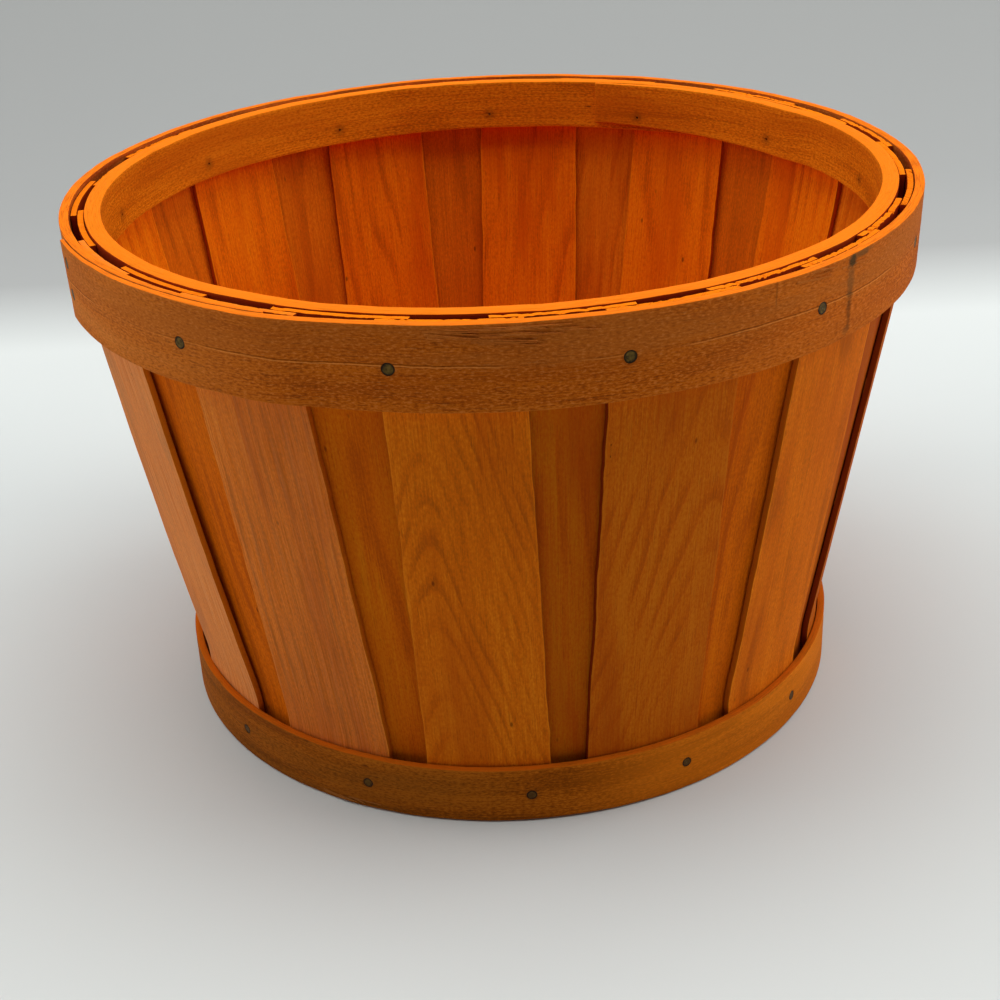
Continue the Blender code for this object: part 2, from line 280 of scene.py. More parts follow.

# %% [markdown]
# Dyed wood. The staves are rotary-cut veneer of a pale hardwood, peeled off a turning log, and
# the hoops are sawn strips of the same. Both are dipped in orange dye, which leaves the grain
# showing. A peeled sheet cuts the growth rings at a grazing angle, so its figure is made of
# long loops and nested arches, like a map's contour lines, and that is how it is drawn here:
# a smooth level rises along the wood, and at each whole level lies a growth ring, whose dark
# line is sharp on one side and fades out on the other. A Wave node would be quicker, but its
# lines never close into loops.
#
# Under the rings lie broad streaks, blotches where the dye soaked deeper, fine fibres and, most
# of all where a saw has been, a short fuzz. Open pores show as short dark dashes, torn fibres
# as pale hairs and pin knots as small brown flecks.
#
# Some staves drink more dye than others, and some less. An inner stave's outer face, which lies
# in shadow behind the outer staves, is darkened as painted shade, and the long knife-cut edges
# are darker, partly from more dye and partly as painted shade. One outer stave is paled as a
# painted sheen, and another is darkened as painted shade. Where a saw went across the wood the
# dye stays bright, and on the bottom hoop's top edge that brightness is also a painted glow from
# the staves. Corners are pale, partly rubbed and partly a painted highlight where they catch the
# light, and the wood is bruised round each nail. Between the hoops and the staves, where little
# light reaches, the wood is painted dark red as shade. Each piece says where, as attributes: dye
# with painted light and shade, which is below nothing where the wood has faded or is paled as
# sheen, cut, the painted shade in gaps, to_corner and nail_mark. The patterns are laid in a map
# that each piece carries, called grain: metres across the grain and metres along it, so that
# they bend with the wood.

# %% Sizes of the wood's patterns
# Fibres, pores, fuzz and torn fibres are a few hundredths to a tenth of a millimetre wide on
# the wood, too fine to show from here, so they are drawn three to ten times as coarse
FIBRE_WIDTH = 0.5 * MM
FIBRE_LENGTH = 40 * MM
FUZZ_WIDTH = 0.6 * MM
FUZZ_LENGTH = 1.5 * MM
PORE_WIDTH = 0.3 * MM
PORE_LENGTH = 8 * MM
HAIR_WIDTH = 0.25 * MM
HAIR_LENGTH = 14 * MM
SAW_MARK_WIDTH = 0.4 * MM
SAW_MARK_LENGTH = 9 * MM
# These are as large as on the wood
CHATTER_WIDTH = 9 * MM
CHATTER_LENGTH = 0.8 * MM
STREAK_WIDTH = 5 * MM
STREAK_LENGTH = 200 * MM
SOAKED_WIDTH = 16 * MM
SOAKED_LENGTH = 110 * MM
FIGURE_WIDTH = 26 * MM
FIGURE_LENGTH = 160 * MM
RING_PATCH_WIDTH = 14 * MM
RING_PATCH_LENGTH = 50 * MM
BLOTCH_WIDTH = 45 * MM
BLOTCH_LENGTH = 2.5 * BLOTCH_WIDTH
SHEET_SIZE = 400 * MM
PIN_KNOT_SPACING = 11 * MM
RUBBED_AND_LIT_CORNER = 0.15 * MM
RUBBED_AND_LIT_REACH = 0.6 * MM
RELIEF_DEPTH = 0.16 * MM
view_width = (CAMERA_TARGET - CAMERA_PLACE).length * CAMERA_FILM_WIDTH / CAMERA_LENS
print("the camera sees", round(view_width / MM), "mm of the basket from side to side")


# %% Lay one pattern over another
# A Map Range node takes a value (0), where it starts and ends (1 and 2) and what it gives there
# (3 and 4, which are 0 and 1 where they aren't given); a smooth one eases in and out
SMOOTH = dict(interpolation_type="SMOOTHSTEP")


def stretched_noise(tree, place, width, length, detail=3.0, roughness=0.55):
    """Noise whose grains are this wide across the grain and this long along it."""
    scaled = add(tree, "ShaderNodeMapping", {"Vector": place, "Scale": (1 / width, 1 / length, 1)})
    return add(
        tree,
        "ShaderNodeTexNoise",
        {"Vector": scaled, "Scale": 1.0, "Detail": detail, "Roughness": roughness},
    )


def overlay(material, mask, colour):
    """Lay a colour over a material's own colour, as strongly as the mask says."""
    tree = material.node_tree
    target = tree.nodes["Principled BSDF"].inputs["Base Color"]
    under = target.links[0].from_socket
    colours = {"Factor": mask, "A": under, "B": linear(colour)}
    mixed = add(tree, "ShaderNodeMix", colours, data_type="RGBA")
    tree.links.new(mixed.outputs[2], target)


# %% Draw the growth rings
RING_FRAY = 0.15
RING_FADES_BY = 0.45
RING_STARTS_AT = 0.86


def growth_rings(tree, grain, fibres, levels):
    """Dark lines, one at each whole level of a noise of this height or of the piece's figure."""
    if levels:
        hills = stretched_noise(tree, grain, FIGURE_WIDTH, FIGURE_LENGTH, detail=1.0, roughness=0.35)
        level = add(tree, "ShaderNodeMath", {0: hills, 1: levels}, operation="MULTIPLY")
    else:
        level = add(tree, "ShaderNodeAttribute", attribute_name="figure").outputs["Fac"]
    frayed = add(
        tree, "ShaderNodeMath", {0: fibres, 1: RING_FRAY, 2: level}, operation="MULTIPLY_ADD"
    )
    ring = add(tree, "ShaderNodeMath", {0: frayed}, operation="FRACT")
    fading = add(
        tree, "ShaderNodeMapRange", {0: ring, 1: 0.0, 2: RING_FADES_BY, 3: 1.0, 4: 0.0}, **SMOOTH
    )
    starting = add(tree, "ShaderNodeMapRange", {0: ring, 1: RING_STARTS_AT, 2: 1.0}, **SMOOTH)
    ring_line = add(tree, "ShaderNodeMath", {0: fading, 1: starting}, operation="MAXIMUM")
    shown = stretched_noise(tree, grain, RING_PATCH_WIDTH, RING_PATCH_LENGTH, detail=2.0)
    strength = add(
        tree, "ShaderNodeMapRange", {0: shown, 1: 0.40, 2: 0.62, 3: 0.15, 4: 1.0}, **SMOOTH
    )
    return add(tree, "ShaderNodeMath", {0: ring_line, 1: strength}, operation="MULTIPLY")


# %% Mix the dyed tones
RING_DARKNESS = -0.18
AVERAGE_TONE = 0.54
DARK_AT = 0.30
MIDDLE_AT = 0.51
LIGHT_AT = 0.72


def dyed_tones(wood, line, shares, dark, middle, light):
    """Colour the wood in three tones, by the sum of its patterns, each with its share."""
    tree = wood.node_tree
    start = AVERAGE_TONE - sum(shares.values()) / 2
    tone = add(
        tree, "ShaderNodeMath", {0: line, 1: RING_DARKNESS, 2: start}, operation="MULTIPLY_ADD"
    )
    for pattern, share in shares.items():
        tone = add(
            tree, "ShaderNodeMath", {0: pattern, 1: share, 2: tone}, operation="MULTIPLY_ADD"
        )
    ramp = add(tree, "ShaderNodeValToRGB", {"Fac": tone})
    stops = ramp.color_ramp.elements
    stops[0].position = DARK_AT
    stops[0].color = linear(dark)
    stops[1].position = LIGHT_AT
    stops[1].color = linear(light)
    stops.new(MIDDLE_AT).color = linear(middle)
    tree.links.new(ramp.outputs["Color"], tree.nodes["Principled BSDF"].inputs["Base Color"])


# %% Mark the wood
PORE_TONE = "#6A2C06"
PIN_KNOT_TONE = "#541E04"


def mark_wood(wood, grain, soak, pores, hairs, pale):
    """Lay on deeper dye, pores, torn fibres and pin knots, and give back the pores."""
    tree = wood.node_tree
    soaked = stretched_noise(tree, grain, SOAKED_WIDTH, SOAKED_LENGTH)
    deeper = add(
        tree, "ShaderNodeMapRange", {0: soaked, 1: 0.45, 2: 0.72, 3: 0.0, 4: 0.55}, **SMOOTH
    )
    overlay(wood, deeper, soak)

    dashes = stretched_noise(tree, grain, PORE_WIDTH, PORE_LENGTH, detail=1.0)
    pore = add(
        tree, "ShaderNodeMapRange", {0: dashes, 1: 0.62, 2: 0.72, 3: 0.0, 4: pores}, **SMOOTH
    )
    overlay(wood, pore, PORE_TONE)

    torn_fibres = stretched_noise(tree, grain, HAIR_WIDTH, HAIR_LENGTH, detail=2.0)
    hair = add(
        tree, "ShaderNodeMapRange", {0: torn_fibres, 1: 0.56, 2: 0.72, 3: 0.0, 4: hairs}, **SMOOTH
    )
    overlay(wood, hair, pale)

    # A pin knot is a point of a Voronoi pattern that is drawn out along the grain
    stretch = (1 / PIN_KNOT_SPACING, 0.45 / PIN_KNOT_SPACING, 1)
    spread = add(tree, "ShaderNodeMapping", {"Vector": grain, "Scale": stretch})
    cells = add(tree, "ShaderNodeTexVoronoi", {"Vector": spread, "Scale": 1.0, "Randomness": 1.0})
    from_point = cells.outputs["Distance"]
    fleck = add(
        tree, "ShaderNodeMapRange", {0: from_point, 1: 0.02, 2: 0.06, 3: 0.7, 4: 0.0}, **SMOOTH
    )
    overlay(wood, fleck, PIN_KNOT_TONE)
    return pore


# %% Wear the wood where its piece says so
DEEP_DYE_AND_SHADE_TONE = "#822C02"
FADED_AND_SHEEN_TONE = "#F0C48C"
BRUISE_TONE = "#4E2208"
GAP_SHADE_TONE = "#8C1C02"


def wear_wood(wood, grain, blotches, fibres, pale, cut_edge):
    """Lay on pale corners, partly painted highlight, dye and fading with painted light and shade,
    bruises, saw cuts and painted shade in gaps, as the attributes say.
    """
    tree = wood.node_tree
    said = {}
    for label in ("to_corner", "dye", "nail_mark", "cut", "gap"):
        said[label] = add(tree, "ShaderNodeAttribute", attribute_name=label).outputs["Fac"]

    # Corners are pale, partly rubbed and partly a painted highlight where the edges catch the light
    worn = add(
        tree, "ShaderNodeMapRange", {0: blotches, 1: 0.35, 2: 0.6, 3: 0.1, 4: 0.6}, **SMOOTH
    )
    rubbed_and_lit_corner = add(
        tree,
        "ShaderNodeMapRange",
        {0: said["to_corner"], 1: RUBBED_AND_LIT_CORNER, 2: RUBBED_AND_LIT_REACH, 3: worn, 4: 0.0},
        **SMOOTH,
    )
    overlay(wood, rubbed_and_lit_corner, pale)

    # More dye, and painted shade where faces lie in shadow, darken the wood; below nothing it is paler,
    # as fading and, on one stave, as a painted sheen
    overlay(wood, said["dye"], DEEP_DYE_AND_SHADE_TONE)
    paler_here = add(tree, "ShaderNodeMapRange", {0: said["dye"], 1: 0.0, 2: -1.0}, **SMOOTH)
    uneven = add(
        tree, "ShaderNodeMapRange", {0: fibres, 1: 0.35, 2: 0.65, 3: 0.5, 4: 1.4}, **SMOOTH
    )
    faded_and_sheen_here = add(tree, "ShaderNodeMath", {0: paler_here, 1: uneven}, operation="MULTIPLY")
    overlay(wood, faded_and_sheen_here, FADED_AND_SHEEN_TONE)
    overlay(wood, said["nail_mark"], BRUISE_TONE)

    # A cut edge is bright, but for the saw's marks; on the bottom hoop's top edge it is also a painted
    # glow from the staves
    sawn = stretched_noise(tree, grain, SAW_MARK_WIDTH, SAW_MARK_LENGTH)
    clean = add(tree, "ShaderNodeMapRange", {0: sawn, 1: 0.36, 2: 0.6, 3: 0.35, 4: 1.0}, **SMOOTH)
    bright = add(tree, "ShaderNodeMath", {0: said["cut"], 1: clean}, operation="MULTIPLY")
    overlay(wood, bright, cut_edge)
    # Faces between the hoops and the staves, where little light reaches, get a painted dark red shade
    gap_shade_mask = add(
        tree, "ShaderNodeMapRange", {0: said["gap"], 1: 0.0, 2: 1.0, 3: 0.0, 4: 0.88}, **SMOOTH
    )
    overlay(wood, gap_shade_mask, GAP_SHADE_TONE)


# %% Make the wood
WOOD_ROUGHNESS = 0.75
WOOD_SHINE = 0.03
BRIGHT_EDGE = "#FC7C14"
TORN_TOP = "#FE8008"


def dyed_wood(name, dark, middle, light, soak, cut_edge, levels=None, pores=0.3, hairs=0.26,
              streaky=0.2, fibrous=0.5, fuzzy=0.5, worn_and_lit_tone=None):
    """Dry, matt wood of three tones, a deeper one and a cut edge's, which is partly painted glow on the
    bottom hoop, and its patterns' shares.
    """
    wood = bpy.data.materials.new(name)
    wood.use_nodes = True
    tree = wood.node_tree
    shader = tree.nodes["Principled BSDF"]
    shader.inputs["Roughness"].default_value = WOOD_ROUGHNESS
    shader.inputs["Specular IOR Level"].default_value = WOOD_SHINE
    grain = add(tree, "ShaderNodeUVMap", uv_map="grain")

    fibres = stretched_noise(tree, grain, FIBRE_WIDTH, FIBRE_LENGTH, detail=4.0, roughness=0.65)
    streaks = stretched_noise(tree, grain, STREAK_WIDTH, STREAK_LENGTH)
    blotches = stretched_noise(tree, grain, BLOTCH_WIDTH, BLOTCH_LENGTH, detail=2.0)
    fuzz = stretched_noise(tree, grain, FUZZ_WIDTH, FUZZ_LENGTH, detail=2.0, roughness=0.6)
    sheets = stretched_noise(tree, grain, SHEET_SIZE, SHEET_SIZE, detail=0.0)
    line = growth_rings(tree, grain, fibres, levels)
    shares = {sheets: 0.38, streaks: streaky, blotches: 0.2, fibres: fibrous, fuzz: fuzzy}
    dyed_tones(wood, line, shares, dark, middle, light)
    pore = mark_wood(wood, grain, soak, pores, hairs, worn_and_lit_tone or light)
    wear_wood(wood, grain, blotches, fibres, worn_and_lit_tone or light, cut_edge)

    # The knife's chatter and the fibres stand up a little, growth rings and pores lie deeper
    chatter = stretched_noise(tree, grain, CHATTER_WIDTH, CHATTER_LENGTH, detail=1.0)
    height = add(
        tree, "ShaderNodeMath", {0: chatter, 1: 0.25, 2: fibres}, operation="MULTIPLY_ADD"
    )
    for pattern, share in ((line, -0.4), (pore, -0.8)):
        height = add(
            tree, "ShaderNodeMath", {0: pattern, 1: share, 2: height}, operation="MULTIPLY_ADD"
        )
    relief = {"Height": height, "Distance": RELIEF_DEPTH, "Strength": 0.8}
    bump = add(tree, "ShaderNodeBump", relief)
    tree.links.new(bump.outputs[0], shader.inputs["Normal"])
    return wood


outer_veneer = dyed_wood("dyed_outer_veneer", "#B2560A", "#D66808", "#EA8616", "#B84C06", TORN_TOP)
inner_veneer = dyed_wood("dyed_inner_veneer", "#C05604", "#E87004", "#F6900E", "#C64602", TORN_TOP)
SAWN = dict(streaky=0.3, fibrous=0.8, fuzzy=1.2)
rim_strip = dyed_wood("dyed_rim_strip", "#863A04", "#A64804", "#C4620C", "#983E04", BRIGHT_EDGE,
                      levels=5.0, pores=0.7, hairs=0.7, worn_and_lit_tone="#CC6E1A", **SAWN)
inner_strip = dyed_wood("dyed_inner_strip", "#AC5404", "#CE6A06", "#E28212", "#B45004", BRIGHT_EDGE,
                        levels=4.0, pores=0.2, hairs=0.3, **SAWN)
# The bottom hoop's sawn edges are bright partly as a painted glow, the light that the staves throw down
# on its top edge
foot_strip = dyed_wood("dyed_foot_strip", "#824006", "#A4520A", "#C06814", "#8E3E08", "#C8600C",
                       levels=5.0, pores=0.45, hairs=0.4, **SAWN)
board_wood = dyed_wood("dyed_board", "#A8520A", "#CA660C", "#E07E18", "#AC4A08", "#E07E18",
                       levels=9.0, hairs=0.3, **SAWN)
print("woods:", [m.name for m in bpy.data.materials if m.name.startswith("dyed")])

# %% [markdown]
# Wear on the hoops. The outer hoop's upper half has gone a dull brown. A long crack runs from
# nail to nail, as thin wood splits along its grain where it is nailed; the shade inside it is
# painted dark, and its lower lip, which catches the light, gets a painted highlight. At the right
# are a grey stain that ran down from the edge, and a scratch. Both hoops were paler or browner
# from the start on some of their sides, as one strip of wood is. All of it could be painted as a
# picture, but laid on as masks it stays sharp at any distance.

# %% Tone the hoops' sides
def side_tone(wood, angle, reach, colour, share):
    """Lay a colour over one side of a hoop, unevenly, as far as this many degrees both ways."""
    tree = wood.node_tree
    turn = math.radians(angle)
    place = add(tree, "ShaderNodeTexCoord").outputs["Object"]
    level = add(tree, "ShaderNodeVectorMath", {0: place, 1: (1.0, 1.0, 0.0)}, operation="MULTIPLY")
    outwards = add(tree, "ShaderNodeVectorMath", {0: level}, operation="NORMALIZE")
    facing = add(
        tree,
        "ShaderNodeVectorMath",
        {0: outwards, 1: (math.cos(turn), math.sin(turn), 0.0)},
        operation="DOT_PRODUCT",
    )
    near = add(
        tree,
        "ShaderNodeMapRange",
        {0: facing.outputs["Value"], 1: math.cos(math.radians(reach)), 2: 1.0},
        **SMOOTH,
    )
    grain = add(tree, "ShaderNodeUVMap", uv_map="grain")
    patches = stretched_noise(tree, grain, 9 * MM, 90 * MM)
    uneven = add(
        tree,
        "ShaderNodeMapRange",
        {0: patches, 1: 0.3, 2: 0.7, 3: 0.6 * share, 4: 1.4 * share},
        **SMOOTH,
    )
    toned = add(tree, "ShaderNodeMath", {0: near, 1: uneven}, operation="MULTIPLY")
    for label in ("cut", "gap"):
        kept_off = add(tree, "ShaderNodeAttribute", attribute_name=label).outputs["Fac"]
        toned = add(tree, "ShaderNodeMath", {0: toned, 1: kept_off}, operation="SUBTRACT")
    overlay(wood, toned, colour)


side_tone(rim_strip, -165, 55, "#E08A3A", 0.45)
side_tone(rim_strip, -46, 26, "#DD711C", 0.36)
side_tone(foot_strip, -132, 52, "#4E3A16", 0.34)
side_tone(foot_strip, -40, 45, "#F08214", 0.5)
print("the outer hoop's wood has", len(rim_strip.node_tree.nodes), "nodes")

# %% Weather the outer hoop
WORN_DEPTH = 9 * MM
WORN_END = 16 * MM

tree = rim_strip.node_tree
grain = add(tree, "ShaderNodeUVMap", uv_map="grain")
place = add(tree, "ShaderNodeTexCoord").outputs["Object"]
height = add(tree, "ShaderNodeSeparateXYZ", {0: place}).outputs["Z"]
depth = add(tree, "ShaderNodeMath", {0: RIM_TOP, 1: height}, operation="SUBTRACT")
sawn_edge = add(tree, "ShaderNodeAttribute", attribute_name="cut").outputs["Fac"]


def wear(mask, share, colour):
    """Lay a colour over the hoop where both masks say so, but not over its bright sawn edges."""
    nodes = rim_strip.node_tree
    both = add(nodes, "ShaderNodeMath", {0: mask, 1: share}, operation="MULTIPLY")
    off_edges = add(nodes, "ShaderNodeMath", {0: both, 1: sawn_edge}, operation="SUBTRACT")
    overlay(rim_strip, off_edges, colour)


weather = stretched_noise(tree, grain, 8 * MM, 60 * MM, detail=4.0, roughness=0.6)
fading = {0: depth, 1: WORN_DEPTH, 2: WORN_END, 3: 1.0, 4: 0.35}
upper = add(tree, "ShaderNodeMapRange", fading, **SMOOTH)
worn = add(tree, "ShaderNodeMapRange", {0: weather, 1: 0.32, 2: 0.62, 3: 0.3, 4: 0.85}, **SMOOTH)
wear(upper, worn, "#B25E1C")

# The saw's fuzz, with painted highlights on its tips and painted shade at its roots
fuzz = stretched_noise(tree, grain, FUZZ_WIDTH, FUZZ_LENGTH, detail=2.0, roughness=0.6)
wear(add(tree, "ShaderNodeMapRange", {0: fuzz, 1: 0.52, 2: 0.70}, **SMOOTH), 0.34, "#DC8844")
fuzz_root_shade = add(tree, "ShaderNodeMapRange", {0: fuzz, 1: 0.30, 2: 0.48, 3: 1.0, 4: 0.0}, **SMOOTH)
wear(fuzz_root_shade, 0.34, "#702E04")
print("the outer hoop is worn down to", round(WORN_END / MM), "mm below its top")

# %% Split the outer hoop
CRACK_DEPTH = 11.8 * MM
CRACK_WANDER = 3.2 * MM
CRACK_WIDTH = 0.22 * MM
CRACK_SIDES = [
    # How far down from the crack, colour and strength: the open crack's painted shade, and its lower
    # lip's painted highlight
    (0.0, "#5A2806", 0.8),
    (2.2 * CRACK_WIDTH, "#F09A48", 0.55),
]

along = stretched_noise(tree, grain, 1.0, 55 * MM, detail=4.0, roughness=0.6)
crack_line = add(
    tree, "ShaderNodeMath", {0: along, 1: -CRACK_WANDER, 2: depth}, operation="MULTIPLY_ADD"
)
crack_middle = CRACK_DEPTH - CRACK_WANDER / 2
off_crack = add(tree, "ShaderNodeMath", {0: crack_line, 1: crack_middle}, operation="SUBTRACT")
opening = stretched_noise(tree, grain, 1.0, 40 * MM, detail=1.0)
open_here = add(tree, "ShaderNodeMapRange", {0: opening, 1: 0.36, 2: 0.5}, **SMOOTH)
for offset, colour, share in CRACK_SIDES:
    below = add(tree, "ShaderNodeMath", {0: off_crack, 1: offset}, operation="SUBTRACT")
    away = add(tree, "ShaderNodeMath", {0: below}, operation="ABSOLUTE")
    near = add(
        tree, "ShaderNodeMapRange", {0: away, 1: 0.0, 2: CRACK_WIDTH, 3: share, 4: 0.0}, **SMOOTH
    )
    wear(near, open_here, colour)
print("the crack lies about", round(CRACK_DEPTH / MM, 1), "mm below the rim's top")

# %% Stain and scratch the outer hoop
HOOP_MARKS = [
    # Angle in degrees, depth below the top, half width, half height, colour and strength
    (-44.3, 2.6, 3.2, 2.8, "#3C3420", 0.9),
    (-42.4, 1.4, 7.0, 1.5, "#5A4424", 0.65),
    (-44.6, 9.0, 2.4, 9.5, "#6A4824", 0.55),
    (-44.5, 17.0, 1.5, 8.0, "#4A2A10", 0.55),
    (-44.8, 23.0, 2.6, 2.2, "#5E4022", 0.4),
    (-57.4, 4.5, 0.45, 5.5, "#6A3A14", 0.45),
]

ragged_noise = {"Vector": place, "Scale": 400.0, "Detail": 4.0, "Roughness": 0.65}
ragged = add(tree, "ShaderNodeTexNoise", ragged_noise)
for angle, mark_depth, half_width, half_height, colour, share in HOOP_MARKS:
    turn = math.radians(angle)
    sideways = (-math.sin(turn), math.cos(turn), 0)
    forwards = (math.cos(turn), math.sin(turn), 0)
    aside = add(tree, "ShaderNodeVectorMath", {0: place, 1: sideways}, operation="DOT_PRODUCT")
    front = add(tree, "ShaderNodeVectorMath", {0: place, 1: forwards}, operation="DOT_PRODUCT")
    across = add(
        tree, "ShaderNodeMath", {0: aside.outputs["Value"], 1: half_width * MM}, operation="DIVIDE"
    )
    below = add(tree, "ShaderNodeMath", {0: depth, 1: mark_depth * MM}, operation="SUBTRACT")
    down = add(tree, "ShaderNodeMath", {0: below, 1: half_height * MM}, operation="DIVIDE")
    pair = add(tree, "ShaderNodeCombineXYZ", {"X": across, "Y": down})
    reach = add(tree, "ShaderNodeVectorMath", {0: pair}, operation="LENGTH").outputs["Value"]
    frayed = add(
        tree, "ShaderNodeMath", {0: ragged, 1: 1.2, 2: reach}, operation="MULTIPLY_ADD"
    )
    spot = add(
        tree, "ShaderNodeMapRange", {0: frayed, 1: 0.9, 2: 1.6, 3: share, 4: 0.0}, **SMOOTH
    )
    facing = add(
        tree, "ShaderNodeMapRange", {0: front.outputs["Value"], 1: 0.0, 2: 10 * MM}, **SMOOTH
    )
    wear(spot, facing, colour)
print("marks on the outer hoop:", len(HOOP_MARKS))

# %% [markdown]
# Geometry Nodes trees make the wooden pieces. Each starts from a straight strip, a unit box
# with many faces, keeps a map of it for the grain, and then moves every point to where bending
# takes it. The same tree makes every stave, with other inputs, as the same knife cuts them.
# Cutting each strip as a mesh by hand would work too, but a change of size would mean cutting
# all of them again.

# %% Start and end a tree
def new_tree(name, **kinds):
    """A Geometry Nodes tree with these inputs, and the node that gives them."""
    tree = bpy.data.node_groups.new(name, "GeometryNodeTree")
    sockets = tree.interface
    for label, kind in kinds.items():
        sockets.new_socket(label.replace("_", " "), in_out="INPUT", socket_type="NodeSocket" + kind)
    sockets.new_socket("Mesh", in_out="OUTPUT", socket_type="NodeSocketGeometry")
    return tree, tree.nodes.new("NodeGroupInput").outputs


def keep_marks(tree, geometry, domain, **marks):
    """Keep numbers on a geometry's points or faces, by name, for its material to read."""
    for label, value in marks.items():
        geometry = add(
            tree,
            "GeometryNodeStoreNamedAttribute",
            {"Geometry": geometry, "Name": label, "Value": value},
            data_type="FLOAT",
            domain=domain,
        )
    return geometry


def choose(tree, kind, index, choices):
    """The choice, a number or a socket, whose place in the list is the index."""
    switch = add(tree, "GeometryNodeIndexSwitch", data_type=kind)
    while len(switch.index_switch_items) < len(choices):
        switch.index_switch_items.new()
    tree.links.new(index.outputs[0], switch.inputs["Index"])
    for number, choice in enumerate(choices):
        if isinstance(choice, float):
            switch.inputs[str(number)].default_value = choice
        else:
            tree.links.new(choice, switch.inputs[str(number)])
    return switch


def end_tree(tree, last, material):
    """Every tree ends by making its instances real and setting their material."""
    real = add(tree, "GeometryNodeRealizeInstances", {"Geometry": last})
    dressed = add(tree, "GeometryNodeSetMaterial", {"Geometry": real, "Material": material})
    add(tree, "NodeGroupOutput", {"Mesh": dressed})
    print("the", tree.name, "tree has", len(tree.nodes), "nodes")


# %% Run a tree
EDGE_ANGLE = math.radians(50)
CREASE_ANGLE = math.radians(35)


def bake(piece):
    """Keep what a piece's modifiers make as its plain mesh, and take them off."""
    view = bpy.context.evaluated_depsgraph_get()
    made = bpy.data.meshes.new_from_object(
        piece.evaluated_get(view), preserve_all_data_layers=True, depsgraph=view
    )
    piece.modifiers.clear()
    piece.data = made
    made.name = piece.name


def grow(name, tree, mesh=None, **values):
    """Run a tree with these values and keep what it makes as a plain mesh with one material."""
    piece = bpy.data.objects.new(name, mesh or bpy.data.meshes.new(name))
    bpy.context.scene.collection.objects.link(piece)
    modifier = piece.modifiers.new("build", "NODES")
    modifier.node_group = tree
    for socket in tree.interface.items_tree:
        label = socket.name.replace(" ", "_")
        if label in values:
            modifier[socket.identifier] = values[label]
    bake(piece)
    piece.data.materials.clear()
    piece.data.materials.append(values["Material"])
    return piece


def ease_edges(piece, width, cutter=None):
    """Take off a piece's sharp edges and cut its nail holes."""
    bevel = piece.modifiers.new("eased_edges", "BEVEL")
    bevel.width = width
    bevel.segments = 2
    bevel.limit_method = "ANGLE"
    bevel.angle_limit = EDGE_ANGLE
    bevel.use_clamp_overlap = False
    if cutter:
        holes = piece.modifiers.new("nail_holes", "BOOLEAN")
        holes.object = cutter
    bake(piece)


def finish_piece(piece, slot, *nodes):
    """Smooth faces with crisp edges, and the piece's place in the frame."""
    piece.data.shade_smooth()
    piece.data.set_sharp_from_angle(angle=CREASE_ANGLE)
    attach(piece, "root")
    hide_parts(*nodes)


# %% [markdown]
# Staves. A stave is a strip of veneer, soaked, bent in a form and nailed between the hoops. It
# is straight and of one width, so its neighbours part towards the rim. The bottom hoop and the
# rim hoops curl it round the basket, and between them it stays flatter. Where its top was torn
# off and not sawn it ends in splinters.
#
# A curve gives the stave's side view, with rounded bends, and every point of the strip is set
# beside that curve. Bending a flat mesh with modifiers would give the same shape, but not the
# torn tops, which are shortened along the strip before it is bent.

# %% Start the stave tree
STAVE_ROWS = 81
BEND_STEPS = 8

tree, given = new_tree(
    "stave",
    Width="Float",
    Thickness="Float",
    Foot="Vector",
    Low_Bend="Vector",
    High_Bend="Vector",
    Top="Vector",
    Bend_Radius="Float",
    Depth="Float",
    Angle="Float",
    Lean="Float",
    Flatness="Float",
    Raggedness="Float",
    Steps_Across="Int",
    Dye="Float",
    Loose_Side="Float",
    Arch_Centre="Float",
    Arch_Rise="Float",
    Arch_Fall="Float",
    Gap_From="Float",
    Swirl="Float",
    Seed="Float",
    Grain_Place="Vector",
    Material="Material",
)
stave_tree = tree

block_steps = {"Vertices X": given["Steps Across"], "Vertices Y": 2, "Vertices Z": STAVE_ROWS}
block = add(tree, "GeometryNodeMeshCube", block_steps)
place = add(tree, "GeometryNodeInputPosition")
parts = add(tree, "ShaderNodeSeparateXYZ", {0: place})
across = add(
    tree, "ShaderNodeMath", {0: parts.outputs["X"], 1: given["Width"]}, operation="MULTIPLY"
)
through = add(
    tree, "ShaderNodeMath", {0: parts.outputs["Y"], 1: given["Thickness"]}, operation="MULTIPLY"
)
up = add(tree, "ShaderNodeMath", {0: parts.outputs["Z"], 1: 0.5}, operation="ADD")

# The path: foot, two bends and top, as distance from the axis and height
line = add(tree, "GeometryNodeMeshLine", {"Count": 4})
index = add(tree, "GeometryNodeInputIndex")
path_points = [given[label] for label in ("Foot", "Low Bend", "High Bend", "Top")]
bends = choose(tree, "VECTOR", index, path_points)
bent = add(tree, "GeometryNodeSetPosition", {"Geometry": line, "Position": bends})
path = add(tree, "GeometryNodeMeshToCurve", {"Mesh": bent})
rounded = add(
    tree, "GeometryNodeFilletCurve", {"Curve": path, "Radius": given["Bend Radius"]}, mode="POLY"
)
rounded.inputs["Count"].default_value = BEND_STEPS
length = add(tree, "GeometryNodeCurveLength", {"Curve": rounded})
along = add(tree, "ShaderNodeMath", {0: up, 1: length}, operation="MULTIPLY")
print("the stave tree starts with", len(given) - 1, "inputs")

# %% Map the stave's grain and figure
ARCH_ROUNDNESS = 4 * MM

